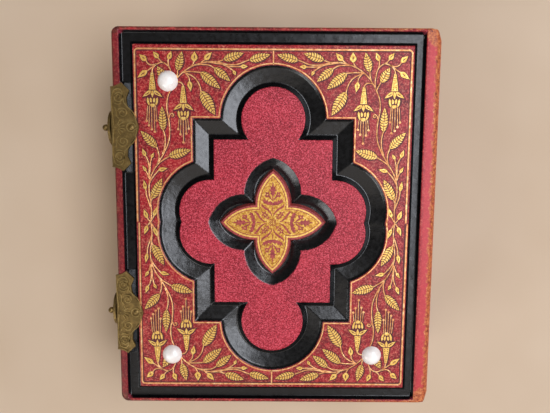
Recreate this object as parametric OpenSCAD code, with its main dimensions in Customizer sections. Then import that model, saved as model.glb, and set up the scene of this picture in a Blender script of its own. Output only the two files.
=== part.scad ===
// Photograph album for carte-de-visite cards, lying on its front cover.
// X runs from the fore-edge to the spine, Y from the tail to the head, Z up.
// The rest face of the front cover is at Z = 0.

/* [Covers] */
// Height of the covers, tail to head
cover_h = 154.8; // [148:0.2:170]
// Width of the covers, fore-edge to the outside of the joint
cover_w = 131; // [126:0.5:140]
// Thickness of one finished cover
cover_t = 7; // [6.6:0.1:8.4]
// Radius of the fore-edge corners, seen from above
corner_r = 3.5; // [1:0.5:6]
// Rounding of the leather over the edges
edge_r = 1; // [0.4:0.1:1.6]
// Radius of the corners beside the spine
joint_corner_r = 1.5; // [0.5:0.5:3]
// Depth of the moulded leather over the board
relief_t = 3.4; // [3.1:0.1:3.6]
// Leather over the edges of the board
edge_leather = 0.8; // [0.5:0.1:1.4]
// Width of the leather turned in on the inside
turn_in = 3.5; // [2.5:0.5:6]
// Gap between the pastedown and the joint axis
paste_in = 2; // [1:0.5:4]
// Gap between the board and the joint axis
board_in = 0.6; // [0.4:0.1:1.2]
// Thickness of the pastedown and of the turned-in leather
paste_t = 0.25; // [0.15:0.05:0.5]

/* [Outer groove] */
// Rim between the fore-edge and the groove
fore_rim = 4.1; // [2.5:0.1:5]
// Rim between the groove and the joint
joint_rim = 7; // [5:0.1:8]
// Rim between the groove and the head or the tail
end_rim = 2.6; // [1.2:0.1:4]
// Width of the groove's outer slope
groove_slope = 3; // [2:0.1:4]
// Width of the groove's inner wall
groove_wall = 1.4; // [0.6:0.1:2]
// Depth of the groove
groove_d = 2; // [1:0.1:2.5]

/* [Panel band] */
// Width of the panel's straight part, band included
panel_w = 64.8; // [60:0.2:70]
// Length of the panel's straight part, band included
panel_l = 84; // [78:0.5:90]
// Radius of the panel's lobes, band included
lobe_r = 21.3; // [19:0.1:22]
// Distance of the end lobes' centres from the middle
end_lobe_y = 41.6; // [38:0.2:43]
// Distance of the side lobes' centres from the middle, across
side_lobe_x = 25.3; // [22:0.1:28]
// Half the distance between the two centres of a side lobe
side_lobe_y = 4.5; // [2:0.1:6]
// Width of the steep lip round the band
lip_w = 1; // [0.5:0.1:1.5]
// Depth of that lip
lip_d = 1; // [0.5:0.1:1.5]
// Width of the band's outer slope
band_slope = 5.4; // [4:0.1:6.5]
// Width of the band's inner wall
band_wall = 2.2; // [1:0.1:3]
// Depth of the band
band_d = 2.7; // [1.5:0.1:2.8]

/* [Boss] */
// Radius of the petal arcs of the groove round the boss
hollow_r = 15.3; // [14.5:0.1:16.5]
// Sideways offset of those arcs' centres
hollow_a = 3.5; // [3:0.1:4.5]
// Distance of those arcs' centres from the middle
hollow_y = 11.6; // [10:0.1:12.5]
// Width of the slope round the boss
hollow_slope = 4.2; // [3:0.1:4.5]
// Depth of the hollow that the boss lies in
hollow_d = 2.6; // [1.5:0.1:2.8]
// Radius of the petal arcs of the boss
petal_r = 17.5; // [16.5:0.1:18]
// Sideways offset of the petal arcs' centres
petal_a = 10.5; // [10:0.1:11.5]
// Distance of the petal arcs' centres from the middle
petal_y = 7; // [5:0.1:8]
// Width of the sloping wall of the boss
petal_wall = 0.8; // [0.3:0.1:1.2]

/* [Leaves] */
// Number of leaves
leaf_n = 12; // [12:1:12]
// Distance from one leaf to the next
leaf_pitch = 2.7; // [2.6:0.05:3]
// Thickness of a leaf
leaf_t = 2.25; // [2:0.05:2.3]
// Gap between a cover and the nearest leaf
leaf_gap = 0.35; // [0.3:0.05:1]
// Distance of the leaves from the edges of the covers
square_w = 3.4; // [2:0.1:5]
// Thickness of the cloth hinge of a leaf
guard_t = 0.5; // [0.3:0.05:0.6]
// Width of the cloth hinge
guard_w = 8; // [7:0.5:12]
// How much shorter the cloth hinge is than its leaf, at each end
guard_in = 1.2; // [0.5:0.1:3]
// Radius of the folded root of the cloth hinge
root_r = 0.48; // [0.3:0.02:0.5]
// Distance of the roots from the joint axis, inwards
root_in = 6.2; // [5.8:0.1:8]
// Distance from the roots to the face of the card stubs
stub_in = 0.4; // [0.3:0.1:0.5]
// Width of a card
card_w = 64; // [60:0.5:66]
// Height of a card
card_h = 102; // [96:0.5:106]
// Play of a card in its pocket, all round
card_play = 0.5; // [0.3:0.1:1]
// Thickness of a card pocket
pocket_t = 0.5; // [0.4:0.05:0.6]
// Thickness of the frame sheet over a pocket
frame_t = 0.45; // [0.35:0.05:0.5]
// How far the frame laps over the card
lap = 3.5; // [2:0.5:6]
// Rise of the arched top of a window
arch_rise = 14; // [6:1:20]
// Height of the slit that a card goes in by
slit_h = 1.4; // [1:0.1:2]
// Radius of the leaf corners
leaf_corner = 3; // [1:0.5:5]

/* [Spine] */
// Thickness of the spine leather
spine_leather_t = 0.8; // [0.5:0.1:1.2]
// Thickness of the stiff board in the spine
spine_board_t = 1.8; // [1:0.1:2.5]
// Running clearance round the rolled edges of the covers
joint_play = 0.15; // [0.1:0.05:0.3]
// How far the spine stays inside the outermost line of the joints
back_in = 0.2; // [0.1:0.1:0.5]
// Height at which the spine leather starts beside a rolled edge
spine_lip = 5.7; // [5.3:0.1:6]
// Reach of the room kept for the covers beside the joint axes
joint_room = 10; // [8:0.5:14]
// Radius of the head band and the tail band
head_band_r = 1.15; // [0.8:0.05:1.4]

/* [Clasps] */
// Distance of each clasp from its end of the covers
clasp_in = 39.3; // [34:0.1:44]
// Thickness of the clasp plates
plate_t = 0.8; // [0.6:0.1:1]
// Thickness of the flange over the fore-edge
flange_t = 0.6; // [0.5:0.1:1]
// Half the length of a plate at the fore-edge
edge_v = 15.9; // [14:0.1:18]
// Reach of a plate's middle over the cover
bulge_u = 10.9; // [9:0.1:12]
// Half the length of the middle curve
bulge_v = 10.5; // [8:0.1:11.5]
// Reach of a plate's waist
waist_u = 6.2; // [5:0.1:7]
// Width of the raised rim
rim_w = 0.6; // [0.4:0.1:1]
// Height of the raised rim
rim_h = 0.25; // [0.1:0.05:0.4]
// How far the back plates stand above the leather
back_proud = 0.3; // [0:0.1:0.4]
// How far the front plates are let in below the leather
front_sink = 0.5; // [0.5:0.1:0.8]
// Radius of a plate rivet's shank
rivet_r = 0.6; // [0.4:0.1:0.8]
// Radius of a plate rivet's head
rivet_head_r = 1.2; // [1:0.1:1.5]
// Height of a plate rivet's head
rivet_head_h = 0.45; // [0.3:0.05:0.5]
// Distance of a plate rivet from the flange
rivet_u = 7.9; // [7:0.1:9]
// Radius of the hinge pins
pin_r = 0.45; // [0.35:0.05:0.6]
// Running clearance of a hasp on its pin
pin_play = 0.07; // [0.03:0.01:0.1]
// Radius of the fixed knuckles
knuckle_r = 1.15; // [1:0.05:1.3]
// Length of one fixed knuckle
knuckle_l = 3; // [2:0.5:4]
// Half the length of a hasp's own knuckle
barrel_v = 3.5; // [3:0.1:4]
// Distance of the hinge pin from the flange
pin_out = 1.5; // [1.5:0.1:2]
// Thickness of a hasp
hasp_t = 0.8; // [0.6:0.1:0.9]
// Half the width of a hasp at its shoulders
hasp_v = 7; // [6:0.1:8]
// Half the width of a hasp at its waist
hasp_waist = 4.2; // [3.8:0.1:5]
// Distance of a hasp's first swelling from its pin
swell_at = 8; // [7:0.1:9]
// Reach of that swelling
swell_r = 5.6; // [5:0.1:6.4]
// Length of a hasp's rounded end
end_l = 5; // [4:0.1:6]
// Reach of the swelling beside the rounded end
end_reach = 7; // [6:0.1:8]
// How much lower a hasp ends than the back cover
hasp_low = 1; // [0.5:0.1:2]
// Height of the catch over the joint of the back cover
catch_up = 1.6; // [1:0.1:2.5]
// Distance of the thumb knob from the back cover's face
knob_low = 2.6; // [2:0.1:3.5]
// Reach of the catch out of its flange
catch_out = 0.85; // [0.6:0.05:0.9]
// Half the width of the catch
catch_v = 2.2; // [1.5:0.1:2.6]
// Thickness of the catch
catch_t = 1.1; // [0.8:0.1:1.4]
// Play of the catch in the slot of the hasp
catch_play = 0.35; // [0.25:0.05:0.5]
// Radius of the thumb knob
knob_r = 1.3; // [1:0.1:1.6]
// Length of the knob's neck
knob_neck = 1.4; // [1:0.1:2]
// Radius of the knob's neck
neck_r = 0.8; // [0.6:0.05:1]
// Radius of the knob's shank in the hasp
shank_r = 0.6; // [0.4:0.05:0.8]

/* [Foot studs] */
// Radius of a stud
stud_r = 4.05; // [3:0.05:5]
// Height of a stud
stud_h = 2.6; // [2:0.05:2.7]
// Distance of the studs from the outer groove's sides
stud_in_x = 18; // [15:0.1:22]
// Distance of the studs from the outer groove's ends
stud_in_y = 18.5; // [15:0.1:22]
// Radius of a stud's pin
stud_pin_r = 0.55; // [0.4:0.05:0.8]
// Depth of a stud's hole for its pin
stud_bore = 1.5; // [1:0.1:2]
// Board left under a stud's pin
pin_floor = 0.6; // [0.4:0.1:1.5]
// How far the lost stud's hole lies nearer to the middle, across
lost_x = 0.3; // [0:0.1:1]
// How far it lies nearer to the middle, along
lost_y = 1.3; // [0:0.1:2]

/* [Hidden] */
$fn = 64;
e = 0.5;

groove_w = cover_w - fore_rim - joint_rim;
groove_l = cover_h - 2 * end_rim;
x_fore = -groove_w / 2 - fore_rim;
x_joint = groove_w / 2 + joint_rim;
x_axis = x_joint - cover_t / 2;
half_h = cover_h / 2;
clasp_y = half_h - clasp_in;
stud_x = groove_w / 2 - stud_in_x;
stud_y = groove_l / 2 - stud_in_y;

block_t = (leaf_n - 1) * leaf_pitch + leaf_t;
inner_gap = block_t + 2 * leaf_gap;
album_t = 2 * cover_t + inner_gap;

board_z0 = relief_t;
board_z1 = cover_t - paste_t;
board_x0 = x_fore + edge_leather;
board_x1 = x_axis - board_in;
board_half = half_h - edge_leather;

x_root = x_axis - root_in;
leaf_x0 = x_fore + square_w;
leaf_x1 = x_root - guard_w;
leaf_half = half_h - square_w;
card_x = (leaf_x0 + leaf_x1) / 2;
guard_half = leaf_half - guard_in;

x_back = x_joint - back_in;
x_spine_board = x_back - spine_leather_t;
x_block = x_spine_board - spine_board_t;
block_face = x_root + stub_in;
spine_z0 = cover_t + leaf_gap;
spine_z1 = album_t - spine_z0;

x_flange = x_fore - flange_t;
x_pin = x_flange - pin_out;
z_pin = cover_t / 2;
tip = [4.3, edge_v + 1.6];
corner = [waist_u + 1.3, edge_v - 1.5];
catch_z = album_t - cover_t + catch_up;
knob_z = album_t - knob_low;
hasp_l = album_t - hasp_low - z_pin;
x_knob_tip = x_pin - hasp_t / 2 - knob_neck - knob_r;

// The album is centred on the box round all of it
shift = -(x_knob_tip + x_joint) / 2;

crimson = [0.69, 0.16, 0.22];
black = [0.13, 0.13, 0.15];
gilt = [0.83, 0.64, 0.29];
brass = [0.52, 0.43, 0.24];
card = [0.93, 0.89, 0.79];

// A front piece is drawn with its outer face down at Z = 0
module front() translate([shift, 0, 0]) children();
// A back piece is drawn the same way and turned over the middle of the block
module back() translate([shift, 0, album_t]) mirror([0, 0, 1]) children();

// Flat shapes

module round_rect(x0, x1, half, r0, r1) {
    translate([x0 + r0, -half]) square([x1 - x0 - r0 - r1, 2 * half]);
    translate([x0, -half + r0]) square([r0 * 1.01, 2 * (half - r0)]);
    translate([x1 - r1 * 1.01, -half + r1]) square([r1 * 1.01, 2 * (half - r1)]);
    for (s = [-1, 1]) {
        translate([x0 + r0, s * (half - r0)]) circle(r0);
        translate([x1 - r1, s * (half - r1)]) circle(r1);
    }
}

// Outline of a clasp plate, drawn in by a margin m
function ogee(v, m) = waist_u - m + (bulge_u - waist_u) * (0.5 + 0.5 * cos(180 * v / bulge_v));
function bow(t, a, b, c) = (1 - t) * (1 - t) * a + 2 * t * (1 - t) * b + t * t * c;
function half_plate(m) = concat(
    [for (k = [0:7]) let (v = bulge_v * k / 8) [ogee(v, m), v - m * k / 8]],
    [[waist_u - m, bulge_v + 1 - m * 0.5], corner - [m * 1.3, m * 0.4]],
    [for (k = [0:4]) bow(k / 4, tip - [m * 0.2, m * 1.5], [tip[0] / 2, edge_v - m], [0, edge_v - m])]
);
module plate_outline(m = 0) {
    p = half_plate(m);
    n = len(p);
    polygon(concat(p, [for (k = [n - 1:-1:1]) [p[k][0], -p[k][1]]]));
}

// Half the width of a hasp at a distance s from its pin
function hump(s, c, w) = abs(s - c) > w ? 0 : 0.5 + 0.5 * cos(180 * (s - c) / w);
function hasp_half(s, m) =
    s < 2.4 ? barrel_v - m
    : s > hasp_l - end_l ? (hasp_v - m) * sqrt(max(0, 1 - pow((s - hasp_l + end_l) / (end_l - m), 2)))
    : hasp_waist - m + (hasp_v - hasp_waist) * max(hump(s, swell_at, swell_r), hump(s, hasp_l - end_l, end_reach));
module hasp_outline(m = 0) {
    s0 = m > 0 ? 3.2 : 0;
    right = concat(
        [for (k = [0:19]) let (s = s0 + (hasp_l - end_l - s0) * k / 19) [hasp_half(s, m), s]],
        [for (k = [1:6]) let (a = 90 * k / 6) [(hasp_v - m) * cos(a), hasp_l - end_l + (end_l - m) * sin(a)]]
    );
    n = len(right);
    polygon(concat(right, [for (k = [n - 2:-1:0]) [-right[k][0], right[k][1]]]));
}

// Arched window, width w and height h over all
module window(w, h) polygon(concat(
    [[-w / 2, -h / 2], [w / 2, -h / 2]],
    [for (k = [0:16]) let (a = 180 * k / 16) [w / 2 * cos(a), h / 2 - arch_rise + arch_rise * sin(a)]]
));

// Leaf outline with two round corners at the fore-edge
module leaf_outline(x0, x1, half, r) polygon(concat(
    [[x1, -half], [x1, half]],
    [for (k = [0:4]) let (a = 90 + 90 * k / 4) [x0 + r + r * cos(a), half - r + r * sin(a)]],
    [for (k = [0:4]) let (a = 180 + 90 * k / 4) [x0 + r + r * cos(a), -half + r + r * sin(a)]]
));

// Moulded shapes, all cut upwards from the outer face at Z = 0

// Section of a slope: half width a at the face, drawn in by s at depth d
module slope_section(a, s, d) polygon([
    [-a, -e], [a, -e], [a, 0], [a - s, d], [-a + s, d], [-a, 0]
]);
module slope_rect(w, l, s, d) intersection() {
    rotate([90, 0, 0]) linear_extrude(l + 4 * abs(s), center = true) slope_section(w / 2, s, d);
    rotate([90, 0, 90]) linear_extrude(w + 4 * abs(s), center = true) slope_section(l / 2, s, d);
}
module slope_round(r, s, d) {
    cylinder(h = d, r1 = r, r2 = r - s);
    translate([0, 0, -e]) cylinder(h = e, r = r);
}
// A pointed lobe: two slopes that cross
module slope_petal(r, a, y, s, d) translate([0, y, 0]) intersection() {
    translate([a, 0, 0]) slope_round(r, s, d);
    translate([-a, 0, 0]) slope_round(r, s, d);
}
module slope_flower(r, a, y, s, d)
    for (k = [0:3]) rotate(90 * k) slope_petal(r, a, y, s, d);

// The panel's outline, moved inwards by m at the face and by s more at depth d
module slope_panel(m, s, d) {
    slope_rect(panel_w - 2 * m, panel_l - 2 * m, s, d);
    for (y = [-1, 1]) {
        translate([0, y * end_lobe_y, 0]) slope_round(lobe_r - m, s, d);
        for (x = [-1, 1])
            translate([x * side_lobe_x, y * side_lobe_y, 0]) slope_round(lobe_r - m, s, d);
    }
}

module relief() color(black) {
    difference() {
        slope_rect(groove_w, groove_l, groove_slope, groove_d);
        slope_rect(groove_w - 2 * (groove_slope + groove_wall), groove_l - 2 * (groove_slope + groove_wall),
            -groove_wall, groove_d);
    }
    difference() {
        union() {
            slope_panel(0, lip_w, lip_d);
            translate([0, 0, lip_d]) slope_panel(lip_w, band_slope, band_d - lip_d);
        }
        slope_panel(lip_w + band_slope + band_wall, -band_wall, band_d);
    }
    slope_flower(hollow_r, hollow_a, hollow_y, hollow_slope, hollow_d);
    boss_form();
}

// The boss fills this form, which widens with depth
module boss_form() slope_flower(petal_r, petal_a, petal_y, -petal_wall, hollow_d);

// One cover, drawn with its outer face down

module cover_outer() intersection() {
    linear_extrude(cover_t) round_rect(x_fore, x_joint, half_h, corner_r, joint_corner_r);
    // Fore-edge rounded a little, and the edge beside the spine rolled fully
    rotate([90, 0, 0]) linear_extrude(cover_h + 2, center = true) {
        translate([x_fore + edge_r, 0]) square([x_axis - x_fore - edge_r, cover_t]);
        translate([x_fore, edge_r]) square([edge_r * 1.01, cover_t - 2 * edge_r]);
        for (z = [edge_r, cover_t - edge_r]) translate([x_fore + edge_r, z]) circle(edge_r);
        translate([x_axis, cover_t / 2]) circle(cover_t / 2);
    }
    // Head and tail rounded as the fore-edge is
    translate([x_fore - 1, 0, 0]) rotate([90, 0, 90]) linear_extrude(cover_w + 2) {
        translate([-half_h + edge_r, 0]) square([cover_h - 2 * edge_r, cover_t]);
        translate([-half_h, edge_r]) square([cover_h, cover_t - 2 * edge_r]);
        for (y = [-1, 1], z = [edge_r, cover_t - edge_r])
            translate([y * (half_h - edge_r), z]) circle(edge_r);
    }
}

module board_form()
    translate([0, 0, board_z0]) linear_extrude(board_z1 - board_z0)
        round_rect(board_x0, board_x1, board_half, corner_r - edge_leather, 0.5);

module paste_form()
    translate([x_fore + turn_in, -half_h + turn_in, board_z1])
        cube([x_axis - paste_in - x_fore - turn_in, cover_h - 2 * turn_in, paste_t]);

// Holes that the plate rivets take, from the face to the inside of the board
module rivet_holes()
    for (s = [-1, 1]) translate([x_flange + rivet_u, s * clasp_y, -e])
        cylinder(h = board_z1 + e, r = rivet_r);

// Holes of all four studs, one of which has lost its stud and its pin
module stud_holes()
    for (p = concat(stud_at, [lost_at])) translate([p[0], p[1], -e])
        cylinder(h = board_z1 - pin_floor + e, r = stud_pin_r);

module plate_recess(z)
    for (s = [-1, 1]) translate([x_flange, s * clasp_y, -e])
        linear_extrude(z + e) plate_outline(-0.05);

module cover_leather(plate_z) difference() {
    color(crimson) cover_outer();
    color(crimson) board_form();
    color(crimson) paste_form();
    relief();
    color(crimson) plate_recess(plate_z);
    color(crimson) rivet_holes();
}

module boss() intersection() {
    color(gilt) boss_form();
    cylinder(h = hollow_d, r = petal_y + petal_r + petal_wall);
}

module front_cover_leather() front() cover_leather(front_sink + plate_t);
module back_cover_leather() back() difference() {
    cover_leather(plate_t - back_proud);
    color(black) stud_holes();
}

module front_board() color([0.55, 0.42, 0.28]) front() difference() {
    board_form();
    rivet_holes();
}
module back_board() color([0.55, 0.42, 0.28]) back() difference() {
    board_form();
    rivet_holes();
    stud_holes();
}

module front_pastedown() color(card) front() paste_form();
module back_pastedown() color(card) back() paste_form();
module front_boss() front() boss();
module back_boss() back() boss();

// Porcelain feet of the back cover

// The stud beside the spine at the head is lost
stud_at = [[-stud_x, stud_y], [-stud_x, -stud_y], [stud_x, -stud_y]];
lost_at = [stud_x - lost_x, stud_y - lost_y];
dome_r = (stud_r * stud_r + stud_h * stud_h) / (2 * stud_h);

module foot_studs() color([0.94, 0.92, 0.89]) back()
    for (p = stud_at) translate([p[0], p[1], 0]) difference() {
        intersection() {
            translate([0, 0, dome_r - stud_h]) sphere(dome_r);
            translate([0, 0, -stud_h - 1]) cylinder(h = stud_h + 1, r = stud_r);
        }
        translate([0, 0, -stud_bore]) cylinder(h = stud_bore + 1, r = stud_pin_r);
    }

module stud_pins() color(brass) back()
    for (p = stud_at) translate([p[0], p[1], -stud_bore])
        cylinder(h = stud_bore + board_z1 - pin_floor, r = stud_pin_r);

// Clasp plates: z is the height of the plate's face

module clasp_plate(z, s) translate([x_flange, s * clasp_y, 0]) {
    difference() {
        union() {
            translate([0, 0, z]) linear_extrude(plate_t) plate_outline();
            translate([0, 0, z - rim_h]) linear_extrude(rim_h + 0.1) difference() {
                plate_outline();
                plate_outline(rim_w);
            }
            // Flange over the fore-edge
            translate([0, -edge_v + 1.2, z]) cube([flange_t, 2 * edge_v - 2.4, cover_t - 0.3 - z]);
        }
        translate([rivet_u, 0, z - 2]) cylinder(h = 4 + plate_t, r = rivet_r);
    }
}

module plate_rivet(z, s) translate([x_flange + rivet_u, s * clasp_y, 0]) {
    translate([0, 0, z]) cylinder(h = board_z1 - z, r = rivet_r);
    intersection() {
        translate([0, 0, z - rivet_head_h]) cylinder(h = rivet_head_h, r = rivet_head_r);
        translate([0, 0, z + 1.4 * rivet_head_r - rivet_head_h]) sphere(1.4 * rivet_head_r);
    }
}

// Front plate with its two fixed knuckles
module hinge_plate(s) color(brass) front() difference() {
    union() {
        clasp_plate(front_sink, s);
        for (t = [-1, 1]) translate([x_pin, s * clasp_y + t * (barrel_v + 0.2 + knuckle_l / 2), z_pin]) {
            rotate([90, 0, 0]) cylinder(h = knuckle_l, r = knuckle_r, center = true);
            translate([0, -knuckle_l / 2, -0.8]) cube([pin_out + 0.1, knuckle_l, 1.6]);
        }
    }
    translate([x_pin, s * clasp_y, z_pin]) rotate([90, 0, 0])
        cylinder(h = 4 * (barrel_v + knuckle_l), r = pin_r, center = true);
}

module hinge_pin(s) color(brass) front() translate([x_pin, s * clasp_y, z_pin]) rotate([90, 0, 0]) {
    reach = barrel_v + 0.2 + knuckle_l;
    cylinder(h = 2 * reach, r = pin_r, center = true);
    for (t = [-1, 1]) translate([0, 0, t * (reach + 0.25)])
        cylinder(h = 0.5, r = pin_r + 0.35, center = true);
}

// Back plate with the catch on its flange
module catch_plate(s) color(brass) back() {
    clasp_plate(-back_proud, s);
    translate([x_flange - catch_out, s * clasp_y - catch_v, album_t - catch_z - catch_t / 2])
        cube([catch_out + 0.1, 2 * catch_v, catch_t]);
}

// Hasp, drawn closed: it stands up from its pin beside the fore-edge
module hasp(s) color(brass) front() translate([x_pin, s * clasp_y, z_pin]) difference() {
    union() {
        rotate([90, 0, -90]) linear_extrude(hasp_t, center = true) hasp_outline();
        translate([-hasp_t / 2, 0, 0]) rotate([90, 0, -90]) linear_extrude(rim_h) difference() {
            hasp_outline(0.01);
            hasp_outline(rim_w);
        }
        rotate([90, 0, 0]) cylinder(h = 2 * barrel_v, r = knuckle_r - 0.1, center = true);
    }
    rotate([90, 0, 0]) cylinder(h = 4 * barrel_v, r = pin_r + pin_play, center = true);
    translate([0, 0, catch_z - z_pin])
        cube([4, 2 * (catch_v + catch_play), catch_t + 2 * catch_play], center = true);
    translate([0, 0, knob_z - z_pin]) rotate([0, 90, 0]) cylinder(h = 4, r = shank_r, center = true);
}

module thumb_knob(s) color(brass) front()
    translate([x_pin - hasp_t / 2, s * clasp_y, knob_z]) rotate([0, -90, 0]) {
        translate([0, 0, -hasp_t]) cylinder(h = hasp_t, r = shank_r);
        cylinder(h = knob_neck, r = neck_r);
        translate([0, 0, knob_neck]) sphere(knob_r);
    }

module upper_hinge_plate() hinge_plate(1);
module lower_hinge_plate() hinge_plate(-1);
module upper_hinge_rivet() color(brass) front() plate_rivet(front_sink, 1);
module lower_hinge_rivet() color(brass) front() plate_rivet(front_sink, -1);
module upper_hinge_pin() hinge_pin(1);
module lower_hinge_pin() hinge_pin(-1);
module upper_catch_plate() catch_plate(1);
module lower_catch_plate() catch_plate(-1);
module upper_catch_rivet() color(brass) back() plate_rivet(-back_proud, 1);
module lower_catch_rivet() color(brass) back() plate_rivet(-back_proud, -1);
module upper_hasp() hasp(1);
module lower_hasp() hasp(-1);
module upper_thumb_knob() thumb_knob(1);
module lower_thumb_knob() thumb_knob(-1);

// Spine

// The leather reaches past the spine board and is hollowed round the rolled edge of each cover
module spine_leather() color(crimson) front() difference() {
    translate([x_block, -half_h, spine_lip]) cube([x_back - x_block, cover_h, album_t - 2 * spine_lip]);
    translate([x_block - 1, -board_half, spine_z0]) cube([x_spine_board - x_block + 1, 2 * board_half, spine_z1 - spine_z0]);
    for (z = [cover_t / 2, album_t - cover_t / 2]) translate([x_axis, 0, z]) {
        rotate([90, 0, 0]) cylinder(h = cover_h + 2, r = cover_t / 2 + joint_play, center = true);
        translate([-joint_room, -half_h - 1, -cover_t / 2 - joint_play])
            cube([joint_room, cover_h + 2, cover_t + 2 * joint_play]);
    }
}

module spine_board() color([0.55, 0.42, 0.28]) front()
    translate([x_block, -board_half, spine_z0]) cube([spine_board_t, 2 * board_half, spine_z1 - spine_z0]);

function leaf_z(i) = cover_t + leaf_gap + leaf_t / 2 + i * leaf_pitch;

// Card stubs: a slit between each two and a hollow for each root
module guard_block() color(card) front() difference() {
    translate([block_face, -leaf_half, spine_z0]) cube([x_block - block_face, 2 * leaf_half, spine_z1 - spine_z0]);
    for (i = [0:leaf_n - 1]) {
        translate([x_root, 0, leaf_z(i)]) rotate([90, 0, 0])
            cylinder(h = cover_h, r = root_r + 0.2, center = true, $fn = 12);
        if (i > 0) translate([block_face - 1, -half_h, leaf_z(i) - leaf_pitch / 2 - 0.15])
            cube([4, cover_h, 0.3]);
    }
}

module end_band(s) color([0.75, 0.7, 0.6]) front()
    translate([x_block - head_band_r - 1, s * (leaf_half + head_band_r), spine_z0 + 0.2])
        cylinder(h = spine_z1 - spine_z0 - 0.4, r = head_band_r);
module head_band() end_band(1);
module tail_band() end_band(-1);

// Leaves

pocket_z = leaf_t / 2 - frame_t - pocket_t;
pocket_half = card_h / 2 + card_play;

// Pocket, window and slit of one face
module card_place() {
    translate([-card_w / 2 - card_play, -pocket_half, pocket_z])
        cube([card_w + 2 * card_play, 2 * pocket_half, pocket_t]);
    translate([0, 0, pocket_z]) linear_extrude(frame_t + pocket_t + e)
        window(card_w - 2 * lap, card_h - 2 * lap);
    translate([-card_w / 2 - card_play, -pocket_half, pocket_z])
        cube([card_w + 2 * card_play, slit_h, frame_t + pocket_t + e]);
}

module leaf(i) color(card) front() translate([0, 0, leaf_z(i)]) {
    difference() {
        translate([0, 0, -leaf_t / 2]) linear_extrude(leaf_t)
            leaf_outline(leaf_x0, leaf_x1, leaf_half, leaf_corner);
        translate([card_x, 0, 0]) {
            card_place();
            mirror([0, 0, 1]) card_place();
        }
    }
    translate([leaf_x1 - 0.1, -guard_half, -guard_t / 2])
        cube([x_root - leaf_x1 + 0.1, 2 * guard_half, guard_t]);
    translate([x_root, 0, 0]) rotate([90, 0, 0])
        cylinder(h = 2 * guard_half, r = root_r, center = true, $fn = 12);
}
module leaf_01() leaf(0);
module leaf_02() leaf(1);
module leaf_03() leaf(2);
module leaf_04() leaf(3);
module leaf_05() leaf(4);
module leaf_06() leaf(5);
module leaf_07() leaf(6);
module leaf_08() leaf(7);
module leaf_09() leaf(8);
module leaf_10() leaf(9);
module leaf_11() leaf(10);
module leaf_12() leaf(11);

front_cover_leather();
front_board();
front_pastedown();
front_boss();
upper_hinge_plate();
upper_hinge_rivet();
upper_hinge_pin();
lower_hinge_plate();
lower_hinge_rivet();
lower_hinge_pin();
spine_leather();
spine_board();
guard_block();
head_band();
tail_band();
back_cover_leather();
back_board();
back_pastedown();
back_boss();
foot_studs();
stud_pins();
upper_catch_plate();
upper_catch_rivet();
lower_catch_plate();
lower_catch_rivet();
upper_hasp();
upper_thumb_knob();
lower_hasp();
lower_thumb_knob();
leaf_01();
leaf_02();
leaf_03();
leaf_04();
leaf_05();
leaf_06();
leaf_07();
leaf_08();
leaf_09();
leaf_10();
leaf_11();
leaf_12();
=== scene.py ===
# %% [markdown]
# A gilt and moulded photograph album
#
# The album lies on its front cover. Its covers are boards under one skin of crimson
# leather, pressed between heated dies while damp, so that grooves and a raised panel
# stay in it. The grooves are then painted black and the borders blocked with gold leaf.
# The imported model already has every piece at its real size. This lesson gives the
# pieces their finish, softens the moulded edges and adds the gilding.

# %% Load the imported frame
import math
import bpy
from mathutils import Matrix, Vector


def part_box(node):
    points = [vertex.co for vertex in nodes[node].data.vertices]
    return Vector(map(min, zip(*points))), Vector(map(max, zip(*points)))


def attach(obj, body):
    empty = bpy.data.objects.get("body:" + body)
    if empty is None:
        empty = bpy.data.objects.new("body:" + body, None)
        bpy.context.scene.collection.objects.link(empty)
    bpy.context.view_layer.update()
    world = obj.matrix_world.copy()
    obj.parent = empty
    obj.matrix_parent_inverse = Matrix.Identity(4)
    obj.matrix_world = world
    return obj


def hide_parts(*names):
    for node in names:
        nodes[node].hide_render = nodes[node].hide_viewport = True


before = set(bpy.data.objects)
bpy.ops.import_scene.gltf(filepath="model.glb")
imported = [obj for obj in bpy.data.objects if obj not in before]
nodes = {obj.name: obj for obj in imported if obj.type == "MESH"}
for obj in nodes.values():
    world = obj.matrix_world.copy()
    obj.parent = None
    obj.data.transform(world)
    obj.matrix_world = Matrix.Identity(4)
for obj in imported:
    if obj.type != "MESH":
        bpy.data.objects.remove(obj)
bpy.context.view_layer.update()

# %% [markdown]
# Sizes are thought of in millimetres, and Blender counts in metres, so one factor turns
# one into the other. The drawings on the covers are made in millimetres from the middle
# of the border, which is also the middle of the boss.

# %% Sizes taken from the frame
MM = 0.001
BACK, FRONT = "back_cover", "front_cover"
boss_low, boss_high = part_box("back_boss")
middle_x = (boss_low.x + boss_high.x) / 2
cover_low, cover_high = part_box("back_cover_leather")
cover_x = (cover_low.x + cover_high.x) / 2
cover_half = ((cover_high.x - cover_low.x) / 2, cover_high.y)
face_z = {BACK: cover_high.z, FRONT: 0.0}
outward = {BACK: 1, FRONT: -1}
album_t = face_z[BACK]
print(f"middle of the border at x = {middle_x / MM:.2f} mm, album {album_t / MM:.2f} mm thick")
print(f"a cover is {2 * cover_half[0] / MM:.1f} by {2 * cover_half[1] / MM:.1f} mm")


def from_middle(co):
    """A point's place in mm from the middle of the border."""
    return (co.x - middle_x) / MM, co.y / MM


def depth_of(co, cover):
    """How far a point lies below the face of its cover, in mm."""
    return (face_z[cover] - co.z) * outward[cover] / MM


# %% [markdown]
# Modelling by hand starts by picking something, so a small function picks objects and
# leaves all others alone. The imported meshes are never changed: a piece that needs a
# softer shape starts as a copy. Its loose triangles are merged at their corners, and
# flat faces are joined up, because a bevel runs cleanly only along a whole edge.

# %% Selecting and copying
def select_only(*pieces):
    """Selects these objects and nothing else, and makes the first one active."""
    if bpy.context.mode != "OBJECT":
        bpy.ops.object.mode_set(mode="OBJECT")
    bpy.ops.object.select_all(action="DESELECT")
    for piece in pieces:
        piece.select_set(True)
    bpy.context.view_layer.objects.active = pieces[0]


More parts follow.
